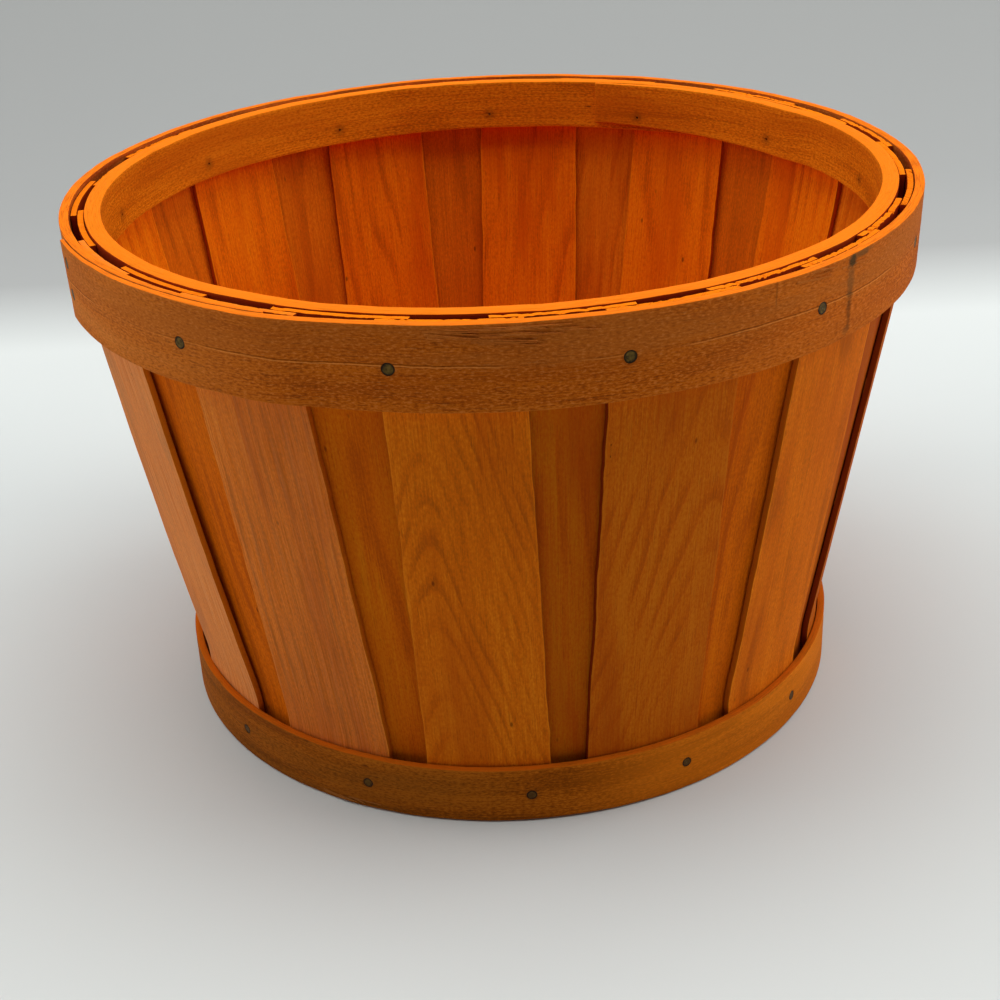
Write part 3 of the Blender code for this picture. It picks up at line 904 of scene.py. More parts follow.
flat_place = add(tree, "ShaderNodeCombineXYZ", {"X": across, "Y": along, "Z": through})
edge_shift = add(
    tree, "ShaderNodeVectorMath", {0: (1.0, 0.0, 0.0), "Scale": through}, operation="SCALE"
)
spread_map = add(tree, "ShaderNodeVectorMath", {0: flat_place, 1: edge_shift}, operation="ADD")
grain_map = add(
    tree, "ShaderNodeVectorMath", {0: spread_map, 1: given["Grain Place"]}, operation="ADD"
)
mapped = add(
    tree,
    "GeometryNodeStoreNamedAttribute",
    {"Geometry": block, "Name": "grain", "Value": grain_map},
    data_type="FLOAT2",
    domain="CORNER",
)

# The figure's level rises along the wood and falls off to both sides of the arches' middle
off_centre = add(
    tree, "ShaderNodeMath", {0: across, 1: given["Arch Centre"]}, operation="SUBTRACT"
)
squared = add(
    tree,
    "ShaderNodeMath",
    {0: off_centre, 1: off_centre, 2: ARCH_ROUNDNESS**2},
    operation="MULTIPLY_ADD",
)
rounded_off = add(tree, "ShaderNodeMath", {0: squared}, operation="SQRT")
arch = add(tree, "ShaderNodeMath", {0: rounded_off, 1: given["Arch Fall"]}, operation="MULTIPLY")
arch_up = add(
    tree, "ShaderNodeMath", {0: along, 1: given["Arch Rise"], 2: arch}, operation="MULTIPLY_ADD"
)
swirl_place = add(
    tree,
    "ShaderNodeVectorMath",
    {0: flat_place, 1: (1 / FIGURE_WIDTH, 1 / FIGURE_LENGTH, 0.0)},
    operation="MULTIPLY",
)
swirls = add(
    tree,
    "ShaderNodeTexNoise",
    {"Vector": swirl_place, "W": given["Seed"], "Scale": 1.3, "Detail": 1.0},
    noise_dimensions="4D",
)
figure = add(
    tree, "ShaderNodeMath", {0: swirls, 1: given["Swirl"], 2: arch_up}, operation="MULTIPLY_ADD"
)
print("arches are rounded over", round(ARCH_ROUNDNESS / MM, 1), "mm")

# %% Mark the stave's points and faces
FACES_THAT_WAY = 0.9
# How much darker the knife-cut edges are, partly as more dye and partly as painted shade
EDGE_DYE_AND_SHADE = 0.6

half_width = add(tree, "ShaderNodeMath", {0: given["Width"], 1: 0.5}, operation="MULTIPLY")
aside = add(tree, "ShaderNodeMath", {0: across}, operation="ABSOLUTE")
to_corner = add(tree, "ShaderNodeMath", {0: half_width, 1: aside}, operation="SUBTRACT")

# The knife-cut edges are darker, partly from more dye and partly as painted shade, and an
# inner stave's outer face is darkened as painted shade where it lies in shadow behind the outer
# staves
normals = add(tree, "ShaderNodeSeparateXYZ", {0: add(tree, "GeometryNodeInputNormal")})
top_face = add(
    tree, "ShaderNodeMath", {0: normals.outputs["Z"], 1: FACES_THAT_WAY}, operation="GREATER_THAN"
)
# Faces between the rim hoops, all but the torn top, lie in shadow and get painted shade
high_up = add(tree, "ShaderNodeMath", {0: up, 1: given["Gap From"]}, operation="GREATER_THAN")
gap_shade_mask = add(tree, "ShaderNodeMath", {0: high_up, 1: top_face}, operation="SUBTRACT")
outward = add(
    tree, "ShaderNodeMath", {0: normals.outputs["Y"], 1: FACES_THAT_WAY}, operation="GREATER_THAN"
)
sideways = add(tree, "ShaderNodeMath", {0: normals.outputs["X"]}, operation="ABSOLUTE")
dye = add(
    tree,
    "ShaderNodeMath",
    {0: outward, 1: given["Loose Side"], 2: given["Dye"]},
    operation="MULTIPLY_ADD",
)
more_dye = add(
    tree, "ShaderNodeMath", {0: sideways, 1: EDGE_DYE_AND_SHADE, 2: dye}, operation="MULTIPLY_ADD"
)
pointed = keep_marks(tree, mapped, "POINT", figure=figure, to_corner=to_corner)
marked = keep_marks(tree, pointed, "FACE", cut=top_face, gap=gap_shade_mask, dye=more_dye)
print("the stave tree has", len(tree.nodes), "nodes so far")

# %% Tear the stave's top and trim its edges
TORN_FROM = 0.965
NOTCHES_PER_METRE = 130.0
SPLINTERS_PER_METRE = 1100.0
EDGE_INWARDS = -0.6 * MM
EDGE_OUTWARDS = 0.3 * MM

# Where the wood tore off, the top has steep notches, some millimetres wide, and in them every
# splinter ends at a height of its own
tear_place = add(tree, "ShaderNodeCombineXYZ", {"X": across, "Y": through})
notches = add(
    tree,
    "ShaderNodeTexNoise",
    {"Vector": tear_place, "W": given["Seed"], "Scale": NOTCHES_PER_METRE, "Detail": 2.0},
    noise_dimensions="4D",
)
splinter_place = add(tree, "ShaderNodeMath", {0: across, 1: given["Seed"]}, operation="ADD")
splinters = add(
    tree,
    "ShaderNodeTexVoronoi",
    {"W": splinter_place, "Scale": SPLINTERS_PER_METRE, "Randomness": 1.0},
    voronoi_dimensions="1D",
)
ends = add(tree, "ShaderNodeSeparateXYZ", {0: splinters.outputs["Color"]})
torn_off = add(tree, "ShaderNodeMapRange", {0: notches, 1: 0.48, 2: 0.56, 3: 0.1, 4: 1.0})
deep = add(tree, "ShaderNodeMath", {0: torn_off, 1: ends.outputs["X"]}, operation="MULTIPLY")
near_top = add(tree, "ShaderNodeMapRange", {0: up, 1: TORN_FROM, 2: 1.0, 3: 0.0, 4: 1.0})
torn = add(tree, "ShaderNodeMath", {0: deep, 1: near_top}, operation="MULTIPLY")
shortened = add(tree, "ShaderNodeMath", {0: torn, 1: given["Raggedness"]}, operation="MULTIPLY")
cut_along = add(tree, "ShaderNodeMath", {0: along, 1: shortened}, operation="SUBTRACT")

# The knife wanders a little along both edges
edge_place = add(tree, "ShaderNodeCombineXYZ", {"X": parts.outputs["X"], "Z": along})
wander = add(
    tree,
    "ShaderNodeTexNoise",
    {"Vector": edge_place, "W": given["Seed"], "Scale": 50.0, "Detail": 3.0, "Roughness": 0.6},
    noise_dimensions="4D",
)
wander_size = add(
    tree, "ShaderNodeMapRange", {0: wander, 1: 0.3, 2: 0.7, 3: EDGE_INWARDS, 4: EDGE_OUTWARDS}
)
side_share = add(tree, "ShaderNodeMath", {0: parts.outputs["X"], 1: 2.0}, operation="MULTIPLY")
side_cubed = add(tree, "ShaderNodeMath", {0: side_share, 1: 3.0}, operation="POWER")
wandered = add(
    tree, "ShaderNodeMath", {0: wander_size, 1: side_cubed, 2: across}, operation="MULTIPLY_ADD"
)
print("splinters are", round(1 / SPLINTERS_PER_METRE / MM, 1), "mm wide")

# %% Bend the stave round the basket
at = add(tree, "GeometryNodeSampleCurve", {"Curves": rounded, "Length": cut_along}, mode="LENGTH")
at_parts = add(tree, "ShaderNodeSeparateXYZ", {0: at.outputs["Position"]})
depth_here = add(
    tree, "ShaderNodeMath", {0: through, 1: given["Depth"]}, operation="SUBTRACT"
)
distance = add(
    tree, "ShaderNodeMath", {0: at_parts.outputs["X"], 1: depth_here}, operation="ADD"
)
turn = add(tree, "ShaderNodeMath", {0: wandered, 1: distance}, operation="DIVIDE")
cosine = add(tree, "ShaderNodeMath", {0: turn}, operation="COSINE")
sine = add(tree, "ShaderNodeMath", {0: turn}, operation="SINE")
round_x = add(tree, "ShaderNodeMath", {0: distance, 1: cosine}, operation="MULTIPLY")
round_y = add(tree, "ShaderNodeMath", {0: distance, 1: sine}, operation="MULTIPLY")
height = at_parts.outputs["Z"]
curled = add(tree, "ShaderNodeCombineXYZ", {"X": round_x, "Y": round_y, "Z": height})
flat = add(tree, "ShaderNodeCombineXYZ", {"X": distance, "Y": wandered, "Z": height})

# It is curled at both ends, where the hoops hold it, and as flat between them as it is asked
belly = add(tree, "ShaderNodeMath", {0: up, 1: math.pi}, operation="MULTIPLY")
free = add(tree, "ShaderNodeMath", {0: belly}, operation="SINE")
flatten = add(tree, "ShaderNodeMath", {0: free, 1: given["Flatness"]}, operation="MULTIPLY")
blended = add(
    tree, "ShaderNodeMix", {"Factor": flatten, "A": curled, "B": flat}, data_type="VECTOR"
)
leaned = add(
    tree, "ShaderNodeMath", {0: up, 1: given["Lean"], 2: given["Angle"]}, operation="MULTIPLY_ADD"
)
turned = add(
    tree, "ShaderNodeVectorRotate", {"Vector": blended, "Angle": leaned}, rotation_type="Z_AXIS"
)
moved = add(tree, "GeometryNodeSetPosition", {"Geometry": marked, "Position": turned})
end_tree(tree, moved, given["Material"])

# %% Measure where the staves stand
distances, angles, heights = measure("outer_stave_01")
foot_distance = distances[heights < heights.min() + SAME_HEIGHT].max()
hoop_distances, hoop_angles, hoop_heights = measure("outer_rim_hoop")
seat_top = hoop_distances[hoop_heights > RIM_TOP - SAME_HEIGHT].min()
seat_bottom = hoop_distances[hoop_heights < outer_hoop_bottom + SAME_HEIGHT].min()


def stave_distance(height):
    """Distance of an outer stave's outer face, between the rim hoops."""
    share = (height - outer_hoop_bottom) / (RIM_TOP - outer_hoop_bottom)
    return seat_bottom + (seat_top - seat_bottom) * share - CLEARANCE


low_bend = bottom_hoop_top + STAVE_BEND_RUN
high_bend = inner_hoop_bottom - STAVE_BEND_RUN
top_distance = distances[heights > heights.max() - SAME_HEIGHT].max()
top_angles = angles[heights > heights.max() - SAME_HEIGHT]
stave_width = top_distance * (np.unwrap(np.sort(top_angles)).max() - top_angles.min())
print("staves are", round(stave_width / MM, 2), "mm wide")

# %% What differs from stave to stave
# How deep a top is torn, where it is torn more than most
RAGGED_TOPS = {
    "outer_stave_04": 0.3 * MM,
    "outer_stave_05": 0.5 * MM,
    "outer_stave_06": 0.7 * MM,
    "outer_stave_10": 0.5 * MM,
    "inner_stave_03": 0.4 * MM,
    "inner_stave_04": 0.6 * MM,
    "inner_stave_05": 0.9 * MM,
    "inner_stave_09": 0.5 * MM,
}
# How much more dye than most, or less: a whole outer stave, where outer_stave_01 is paled as a
# painted sheen and outer_stave_06 darkened as painted shade, or an inner stave's outer face,
# darkened as painted shade where it lies in shadow behind the outer staves
DYE_AND_PAINTED_LIGHT = {
    "outer_stave_01": -0.3,
    "outer_stave_02": -0.17,
    "outer_stave_03": 0.06,
    "outer_stave_04": 0.4,
    "outer_stave_05": -0.04,
    "outer_stave_06": 0.5,
    "inner_stave_01": 0.2,
    "inner_stave_02": 0.42,
    "inner_stave_03": 0.6,
    "inner_stave_04": 0.25,
    "inner_stave_05": 0.7,
}
# An inner stave's outer face, in shadow behind the outer staves, is darkened this much as painted shade
OUTSIDE_PAINTED_SHADE = 0.45
# How flat a stave stays between the hoops
STANDING_OFF = {"outer_stave_01": 0.9, "outer_stave_05": 0.3, "outer_stave_09": 0.5}
USUAL_FLATNESS = 0.12
# Middle of the arches from the stave's middle, and levels per metre along it and away from it
FIGURES = {
    "outer_stave_01": (0 * MM, 8, 20),
    "outer_stave_02": (-45 * MM, 4, 240),
    "outer_stave_03": (-11 * MM, 64, 290),
    "outer_stave_04": (15 * MM, 55, 190),
    "outer_stave_05": (-30 * MM, 8, 60),
}


def usual_figure(number):
    """A figure like the others, for a stave that the photograph doesn't show."""
    side = 1 if number % 2 else -1
    return side * (18 + 6 * (number % 4)) * MM, 5 + 3 * (number % 5), 80 + 40 * (number % 3)


print("staves with their own figure:", len(FIGURES), "and with torn tops:", len(RAGGED_TOPS))

# %% Grow the staves
TORN_STEPS = 121
PLAIN_STEPS = 61
GAP_START = 1.5 * MM
SWIRL = 3.0
STAVE_EASING = 0.2 * MM
INNER_SEEDS_FROM = 20


def grow_stave(node, number, depth, flatness, wood):
    """A stave in the place of a node."""
    low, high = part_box(node)
    centre, rise, fall = FIGURES.get(node, usual_figure(number))
    outer = depth == 0
    foot_angle, top_angle = middle_angles(node)
    foot = foot_distance - STAVE_THICKNESS / 2
    piece = grow(
        "veneer_" + node,
        stave_tree,
        Width=stave_width,
        Thickness=STAVE_THICKNESS,
        Foot=(foot, 0.0, low.z),
        Low_Bend=(foot, 0.0, low_bend),
        High_Bend=(stave_distance(high_bend) - STAVE_THICKNESS / 2, 0.0, high_bend),
        Top=(stave_distance(high.z) - STAVE_THICKNESS / 2, 0.0, high.z),
        Bend_Radius=STAVE_BEND_RADIUS,
        Depth=depth,
        Angle=foot_angle,
        Lean=top_angle - foot_angle,
        Flatness=flatness,
        Raggedness=RAGGED_TOPS.get(node, 0.12 * MM * (1 + number % 4)),
        Steps_Across=TORN_STEPS if node in RAGGED_TOPS else PLAIN_STEPS,
        # An outer stave's dye, with a painted sheen on one stave and painted shade on another
        Dye=DYE_AND_PAINTED_LIGHT.get(node, 0.0) if outer else 0.0,
        Loose_Side=0.0 if outer else DYE_AND_PAINTED_LIGHT.get(node, OUTSIDE_PAINTED_SHADE),
        Arch_Centre=centre,
        Arch_Rise=float(rise),
        Arch_Fall=float(fall),
        Gap_From=(inner_hoop_bottom + GAP_START - low.z) / (high.z - low.z),
        Swirl=SWIRL,
        Seed=float(number),
        Grain_Place=(0.37 * number, 0.61 * number, 0.0),
        Material=wood,
    )
    ease_edges(piece, STAVE_EASING)
    finish_piece(piece, "outer_stave" if outer else "inner_stave", node)


for number, node in enumerate(outer_staves):
    grow_stave(node, number, 0.0, STANDING_OFF.get(node, USUAL_FLATNESS), outer_veneer)
for number, node in enumerate(inner_staves, INNER_SEEDS_FROM):
    grow_stave(node, number, STAVE_THICKNESS + CLEARANCE, 0.0, inner_veneer)
print("staves:", len(outer_staves) + len(inner_staves))

# %% [markdown]
# Hoops. Each is a sawn strip, thinned at both ends so that the ends lap without a lump, bent
# into a ring and nailed. The strip starts with its open end, which lies over the covered one,
# comes down on its seat past the covered end's tip, and goes once round until it runs under
# its own start. A lathed ring would be simpler, but it would have no ends. A bevel takes off
# the sharp edges, as handling does, and the nail holes are cut last.

# %% Start the hoop tree
HOOP_ROWS = 17

tree, given = new_tree(
    "hoop",
    Round_Trip="Float",
    Lap="Float",
    Ramp="Float",
    Wall="Float",
    Tip="Float",
    Clearance="Float",
    Narrowing="Float",
    Bottom="Float",
    Top="Float",
    Seat_Bottom="Float",
    Seat_Top="Float",
    Side="Float",
    Lap_Angle="Float",
    Waver="Float",
    Steps="Int",
    Seed="Float",
    Grain_Place="Vector",
    Material="Material",
)
hoop_tree = tree

block_steps = {"Vertices X": given["Steps"], "Vertices Y": 2, "Vertices Z": HOOP_ROWS}
block = add(tree, "GeometryNodeMeshCube", block_steps)
place = add(tree, "GeometryNodeInputPosition")
shares = add(tree, "ShaderNodeVectorMath", {0: place, 1: (0.5, 0.5, 0.5)}, operation="ADD")
parts = add(tree, "ShaderNodeSeparateXYZ", {0: shares})
whole = add(
    tree, "ShaderNodeMath", {0: given["Round Trip"], 1: given["Lap"]}, operation="ADD"
)
travelled = add(
    tree, "ShaderNodeMath", {0: parts.outputs["X"], 1: whole}, operation="MULTIPLY"
)
to_tip = add(tree, "ShaderNodeMath", {0: whole, 1: travelled}, operation="SUBTRACT")
print("the hoop tree starts with", len(given) - 1, "inputs")

# %% Lap the hoop's ends
# How thick the strip is here, and how far it is lifted by its own other end
nearest_end = add(tree, "ShaderNodeMath", {0: travelled, 1: to_tip}, operation="MINIMUM")
thinning = {0: nearest_end, 1: 0.0, 2: given["Lap"], 3: given["Tip"], 4: given["Wall"]}
wall = add(tree, "ShaderNodeMapRange", thinning)
taper = add(tree, "ShaderNodeMath", {0: given["Wall"], 1: given["Tip"]}, operation="SUBTRACT")
over_end = add(
    tree, "ShaderNodeMapRange", {0: travelled, 1: 0.0, 2: given["Lap"], 3: taper, 4: 0.0}
)
ramp_end = add(tree, "ShaderNodeMath", {0: given["Lap"], 1: given["Ramp"]}, operation="ADD")
tip_lift = add(tree, "ShaderNodeMath", {0: given["Tip"], 1: given["Clearance"]}, operation="ADD")
over_tip = add(
    tree,
    "ShaderNodeMapRange",
    {0: travelled, 1: given["Lap"], 2: ramp_end, 3: tip_lift, 4: 0.0},
    **SMOOTH,
)
lift = add(tree, "ShaderNodeMath", {0: over_end, 1: over_tip}, operation="ADD")
reach = add(
    tree, "ShaderNodeMath", {0: wall, 1: parts.outputs["Y"], 2: lift}, operation="MULTIPLY_ADD"
)
print("the hoop tree has", len(tree.nodes), "nodes so far")

# %% Saw the hoop's edges unevenly
DENT_DEPTH = 0.12 * MM

# Height, with the sawn edges a little wavy and the inner hoop's open end cut narrower
narrowing = {0: travelled, 1: 0.0, 2: given["Lap"], 3: given["Narrowing"], 4: 0.0}
low = add(tree, "ShaderNodeMapRange", narrowing)
low_edge = add(tree, "ShaderNodeMath", {0: low, 1: given["Bottom"]}, operation="ADD")
rising = {0: parts.outputs["Z"], 1: 0.0, 2: 1.0, 3: low_edge, 4: given["Top"]}
height = add(tree, "ShaderNodeMapRange", rising)
wave_place = add(tree, "ShaderNodeCombineXYZ", {"X": travelled, "Z": parts.outputs["Z"]})
waves = add(
    tree,
    "ShaderNodeTexNoise",
    {"Vector": wave_place, "W": given["Seed"], "Scale": 14.0, "Detail": 6.0, "Roughness": 0.62},
    noise_dimensions="4D",
)
wave_share = add(tree, "ShaderNodeMapRange", {0: waves, 1: 0.3, 2: 0.7})
inwards = add(
    tree, "ShaderNodeMapRange", {0: parts.outputs["Z"], 1: 0.0, 2: 1.0, 3: 1.0, 4: -1.0}
)
waved = add(tree, "ShaderNodeMath", {0: wave_share, 1: inwards}, operation="MULTIPLY")
wavy_height = add(
    tree, "ShaderNodeMath", {0: waved, 1: given["Waver"], 2: height}, operation="MULTIPLY_ADD"
)

# The same unevenness across the face, where the saw or the knife left it
dents = add(
    tree,
    "ShaderNodeTexNoise",
    {"Vector": wave_place, "W": given["Seed"], "Scale": 55.0, "Detail": 3.0, "Roughness": 0.5},
    noise_dimensions="4D",
)
dented = add(tree, "ShaderNodeMapRange", {0: dents, 1: 0.3, 2: 0.7, 3: -DENT_DEPTH, 4: 0.0})
face_reach = add(
    tree, "ShaderNodeMath", {0: dented, 1: parts.outputs["Y"], 2: reach}, operation="MULTIPLY_ADD"
)
print("dents are up to", round(DENT_DEPTH / MM, 2), "mm deep")

# %% Bend the hoop into a ring
seat = add(
    tree,
    "ShaderNodeMapRange",
    {0: height, 1: given["Bottom"], 2: given["Top"], 3: given["Seat Bottom"], 4: given["Seat Top"]},
)
distance = add(
    tree, "ShaderNodeMath", {0: face_reach, 1: given["Side"], 2: seat}, operation="MULTIPLY_ADD"
)
round_share = add(
    tree, "ShaderNodeMath", {0: travelled, 1: given["Round Trip"]}, operation="DIVIDE"
)
round_turn = add(tree, "ShaderNodeMath", {0: round_share, 1: math.tau}, operation="MULTIPLY")
turn = add(
    tree,
    "ShaderNodeMath",
    {0: round_turn, 1: given["Side"], 2: given["Lap Angle"]},
    operation="MULTIPLY_ADD",
)
cosine = add(tree, "ShaderNodeMath", {0: turn}, operation="COSINE")
sine = add(tree, "ShaderNodeMath", {0: turn}, operation="SINE")
x = add(tree, "ShaderNodeMath", {0: distance, 1: cosine}, operation="MULTIPLY")
y = add(tree, "ShaderNodeMath", {0: distance, 1: sine}, operation="MULTIPLY")
bent_place = add(tree, "ShaderNodeCombineXYZ", {"X": x, "Y": y, "Z": wavy_height})

# The grain runs along the strip
edge_map = add(tree, "ShaderNodeMath", {0: reach, 1: height}, operation="ADD")
flat_map = add(tree, "ShaderNodeCombineXYZ", {"X": edge_map, "Y": travelled})
grain_map = add(
    tree, "ShaderNodeVectorMath", {0: flat_map, 1: given["Grain Place"]}, operation="ADD"
)
mapped = add(
    tree,
    "GeometryNodeStoreNamedAttribute",
    {"Geometry": block, "Name": "grain", "Value": grain_map},
    data_type="FLOAT2",
    domain="CORNER",
)
to_top = add(tree, "ShaderNodeMath", {0: given["Top"], 1: height}, operation="SUBTRACT")
to_bottom = add(tree, "ShaderNodeMath", {0: height, 1: given["Bottom"]}, operation="SUBTRACT")
to_corner = add(tree, "ShaderNodeMath", {0: to_top, 1: to_bottom}, operation="MINIMUM")
normals = add(tree, "ShaderNodeSeparateXYZ", {0: add(tree, "GeometryNodeInputNormal")})
towards_wall = add(tree, "ShaderNodeMath", {0: normals.outputs["Y"]}, operation="ABSOLUTE")
sawn = add(tree, "ShaderNodeMath", {0: towards_wall, 1: 0.5}, operation="LESS_THAN")
# The face that lies against the staves is in shadow, and gets painted shade
on_seat = add(
    tree, "ShaderNodeMath", {0: normals.outputs["Y"], 1: -0.5}, operation="LESS_THAN"
)
pointed = keep_marks(tree, mapped, "POINT", to_corner=to_corner)
marked = keep_marks(tree, pointed, "FACE", cut=sawn, gap=on_seat)
bent = add(tree, "GeometryNodeSetPosition", {"Geometry": marked, "Position": bent_place})
end_tree(tree, bent, given["Material"])

# %% [markdown]
# Nails. Small flat-headed steel nails, one for each stave and hoop, hammered until the head
# lies level with the wood. The wood is crushed round it, which leaves a thin dark ring. Each
# nail's place, direction and length come from its solid. A Geometry Nodes tree sets one nail,
# a head, a shank and a point, on each of those places. The holes are cut with one mesh for
# each row of nails, because one cut is much quicker than thirteen.

# %% Find the nails
RIM_NAIL_HEAD_RADIUS = 1.78 * MM
FOOT_NAIL_HEAD_RADIUS = 1.6 * MM
NAIL_SHANK_RADIUS = 0.9 * MM
NAIL_HEAD_THICKNESS = 0.6 * MM
NAIL_POINT_LENGTH = 1.8 * MM
NAIL_TIP_RADIUS = 0.35 * MM
NAIL_SIDES = 24

rim_nails = sorted(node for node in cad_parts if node.startswith("rim_nail")) + ["lap_nail"]
bottom_nails = sorted(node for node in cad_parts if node.startswith("bottom_nail"))


def nail_reach(node):
    """A nail's angle and height, and the distances of its head and its point from the axis."""
    corners = np.array([corner.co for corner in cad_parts[node].data.vertices])
    low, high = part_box(node)
    centre = (low + high) / 2
    angle = math.atan2(centre.y, centre.x)
    outwards = corners[:, 0] * math.cos(angle) + corners[:, 1] * math.sin(angle)
    return angle, centre.z, outwards.max(), outwards.min()


print("the first rim nail is", [round(value, 4) for value in nail_reach("rim_nail_01")])

# %% Cut the holes' shapes
POCKET_CLEARANCE = 0.15 * MM
BORE_CLEARANCE = 0.1 * MM
CUT_BEYOND = 2 * MM


def nail_cutter(nodes, head_radius):
    """Pockets for the heads and bores for the shanks, as one cutting mesh."""
    bm = bmesh.new()
    for node in nodes:
        angle, height, head, point = nail_reach(node)
        outwards = Vector((math.cos(angle), math.sin(angle), 0))
        aside = Vector((-math.sin(angle), math.cos(angle), 0))
        pocket = head_radius + POCKET_CLEARANCE
        bore = NAIL_SHANK_RADIUS + BORE_CLEARANCE
        tip = NAIL_TIP_RADIUS + BORE_CLEARANCE
        floor = head - NAIL_HEAD_THICKNESS - BORE_CLEARANCE
        narrow = point + NAIL_POINT_LENGTH
        profile = [
            (head + CUT_BEYOND, pocket),
            (floor, pocket),
            (floor, bore),
            (narrow, bore),
            (point, tip),
            (point - CUT_BEYOND, tip),
        ]
        rings = []
        for away, radius in profile:
            ring = []
            for side in range(NAIL_SIDES):
                turn = math.tau * side / NAIL_SIDES
                rise = Vector((0, 0, height + radius * math.sin(turn)))
                ring.append(bm.verts.new(outwards * away + aside * radius * math.cos(turn) + rise))
            rings.append(ring)
        for ring, following in zip(rings, rings[1:]):
            for side in range(NAIL_SIDES):
                after = (side + 1) % NAIL_SIDES
                bm.faces.new((ring[side], ring[after], following[after], following[side]))
        bm.faces.new(rings[0])
        bm.faces.new(rings[-1])
    bmesh.ops.recalc_face_normals(bm, faces=bm.faces)
    mesh = bpy.data.meshes.new("nail_cutter")
    bm.to_mesh(mesh)
    bm.free()
    cutter = bpy.data.objects.new("nail_cutter", mesh)
    bpy.context.scene.collection.objects.link(cutter)
    return cutter


rim_cutter = nail_cutter(rim_nails, RIM_NAIL_HEAD_RADIUS)
bottom_cutter = nail_cutter(bottom_nails, FOOT_NAIL_HEAD_RADIUS)
print("nail holes:", len(rim_nails) + len(bottom_nails))

# %% Bruise the wood round the nails
NAIL_BRUISE = 2.2 * MM


def bruise(piece, nodes, share):
    """Keep on a piece's points how near they are to a nail, up to this share."""
    distances, angles, heights = round_the_axis(piece.data)
    near = np.zeros(len(distances))
    for node in nodes:
        angle, height, head, point = nail_reach(node)
        turns = (angles - angle + math.pi) % math.tau - math.pi
        away = np.hypot(turns * distances, heights - height)
        near = np.maximum(near, 1 - (away - NAIL_SHANK_RADIUS) / NAIL_BRUISE)
    marks = piece.data.attributes.new("nail_mark", "FLOAT", "POINT")
    marks.data.foreach_set("value", share * np.clip(near, 0, 1))


print("bruises reach", round((NAIL_SHANK_RADIUS + NAIL_BRUISE) / MM, 1), "mm from a nail's middle")

# %% [markdown]
# Torn fibres. Where the saw left a strip it tore some fibres loose, which stand off the face as
# slivers, pale at their tips. They are few, and each is a thin tapered strip of its own that
# grows out of the hoop's face. A hair system would be too even for them and wouldn't be a mesh.

# %% Lift torn fibres
TORN_FIBRES = {
    # Middle angle and half spread in degrees, highest and lowest height in mm, and how many
    "outer_rim_hoop": [(-90, 8, 176.6, 171.8, 26), (-50, 5, 176.8, 174, 4)],
    "bottom_hoop": [(-119, 4, 2.5, 1.0, 5)],
}
FIBRE_STEPS = 8
FIBRE_THICKNESS = 0.2 * MM
FIBRE_ROOT = 0.1 * MM
FIBRE_TAPER = 0.96
FIBRE_DYE = -0.17
FIBRE_SEED = 7


def lift_fibres(piece, zones):
    """Grow slivers out of a hoop's face in these zones."""
    bm = bmesh.new()
    bm.from_mesh(piece.data)
    face = BVHTree.FromBMesh(bm)
    grain_layer = bm.loops.layers.uv["grain"]
    dye_layer = bm.faces.layers.float.new("dye")
    chance = np.random.default_rng(FIBRE_SEED)
    for middle, spread, highest, lowest, count in zones:
        for _ in range(count):
            start = math.radians(middle + spread * chance.uniform(-1, 1))
            height = chance.uniform(lowest, highest) * MM
            length = chance.uniform(5, 17) * MM
            width = chance.uniform(0.4, 1.0) * MM
            lift = chance.uniform(0.2, 0.7) * MM
            slope = chance.uniform(-0.12, 0.03)
            rings = []
            for step in range(FIBRE_STEPS + 1):
                share = step / FIBRE_STEPS
                turn = start + share * length / solid_box[1].x
                out = Vector((math.cos(turn), math.sin(turn), 0))
                up = Vector((0, 0, height + slope * share * length))
                hit = face.ray_cast(0.2 * out + up, -out)[0]
                near = math.hypot(hit.x, hit.y) - FIBRE_ROOT + lift * share**2
                far = near + FIBRE_THICKNESS
                half = width / 2 * math.sqrt(1 - FIBRE_TAPER * share)
                ring = []
                for away, rise in ((near, half), (far, half), (far, -half), (near, -half)):
                    ring.append(bm.verts.new(out * away + up + Vector((0, 0, rise))))
                rings.append(ring)
            faces = [bm.faces.new(rings[0]), bm.faces.new(reversed(rings[-1]))]
            for ring, following in zip(rings, rings[1:]):
                for side in range(4):
                    after = (side + 1) % 4
                    around = (ring[after], ring[side], following[side], following[after])
                    faces.append(bm.faces.new(around))
            bmesh.ops.recalc_face_normals(bm, faces=faces)
            for made in faces:
                made[dye_layer] = FIBRE_DYE
                for loop in made.loops:
                    corner = loop.vert.co
                    loop[grain_layer].uv = (corner.z, solid_box[1].x * start + corner.x)
    bm.to_mesh(piece.data)
    bm.free()


print("torn fibres:", sum(zone[-1] for zones in TORN_FIBRES.values() for zone in zones))

# %% Bend the hoops
HOOP_RAMP = 20 * MM
HOOP_TIP = 1.2 * MM
HOOP_WAVER = 0.9 * MM
HOOP_STEPS = 560
HOOP_EASING = 0.35 * MM
LAP_NAIL_FROM_END = 5.5 * MM


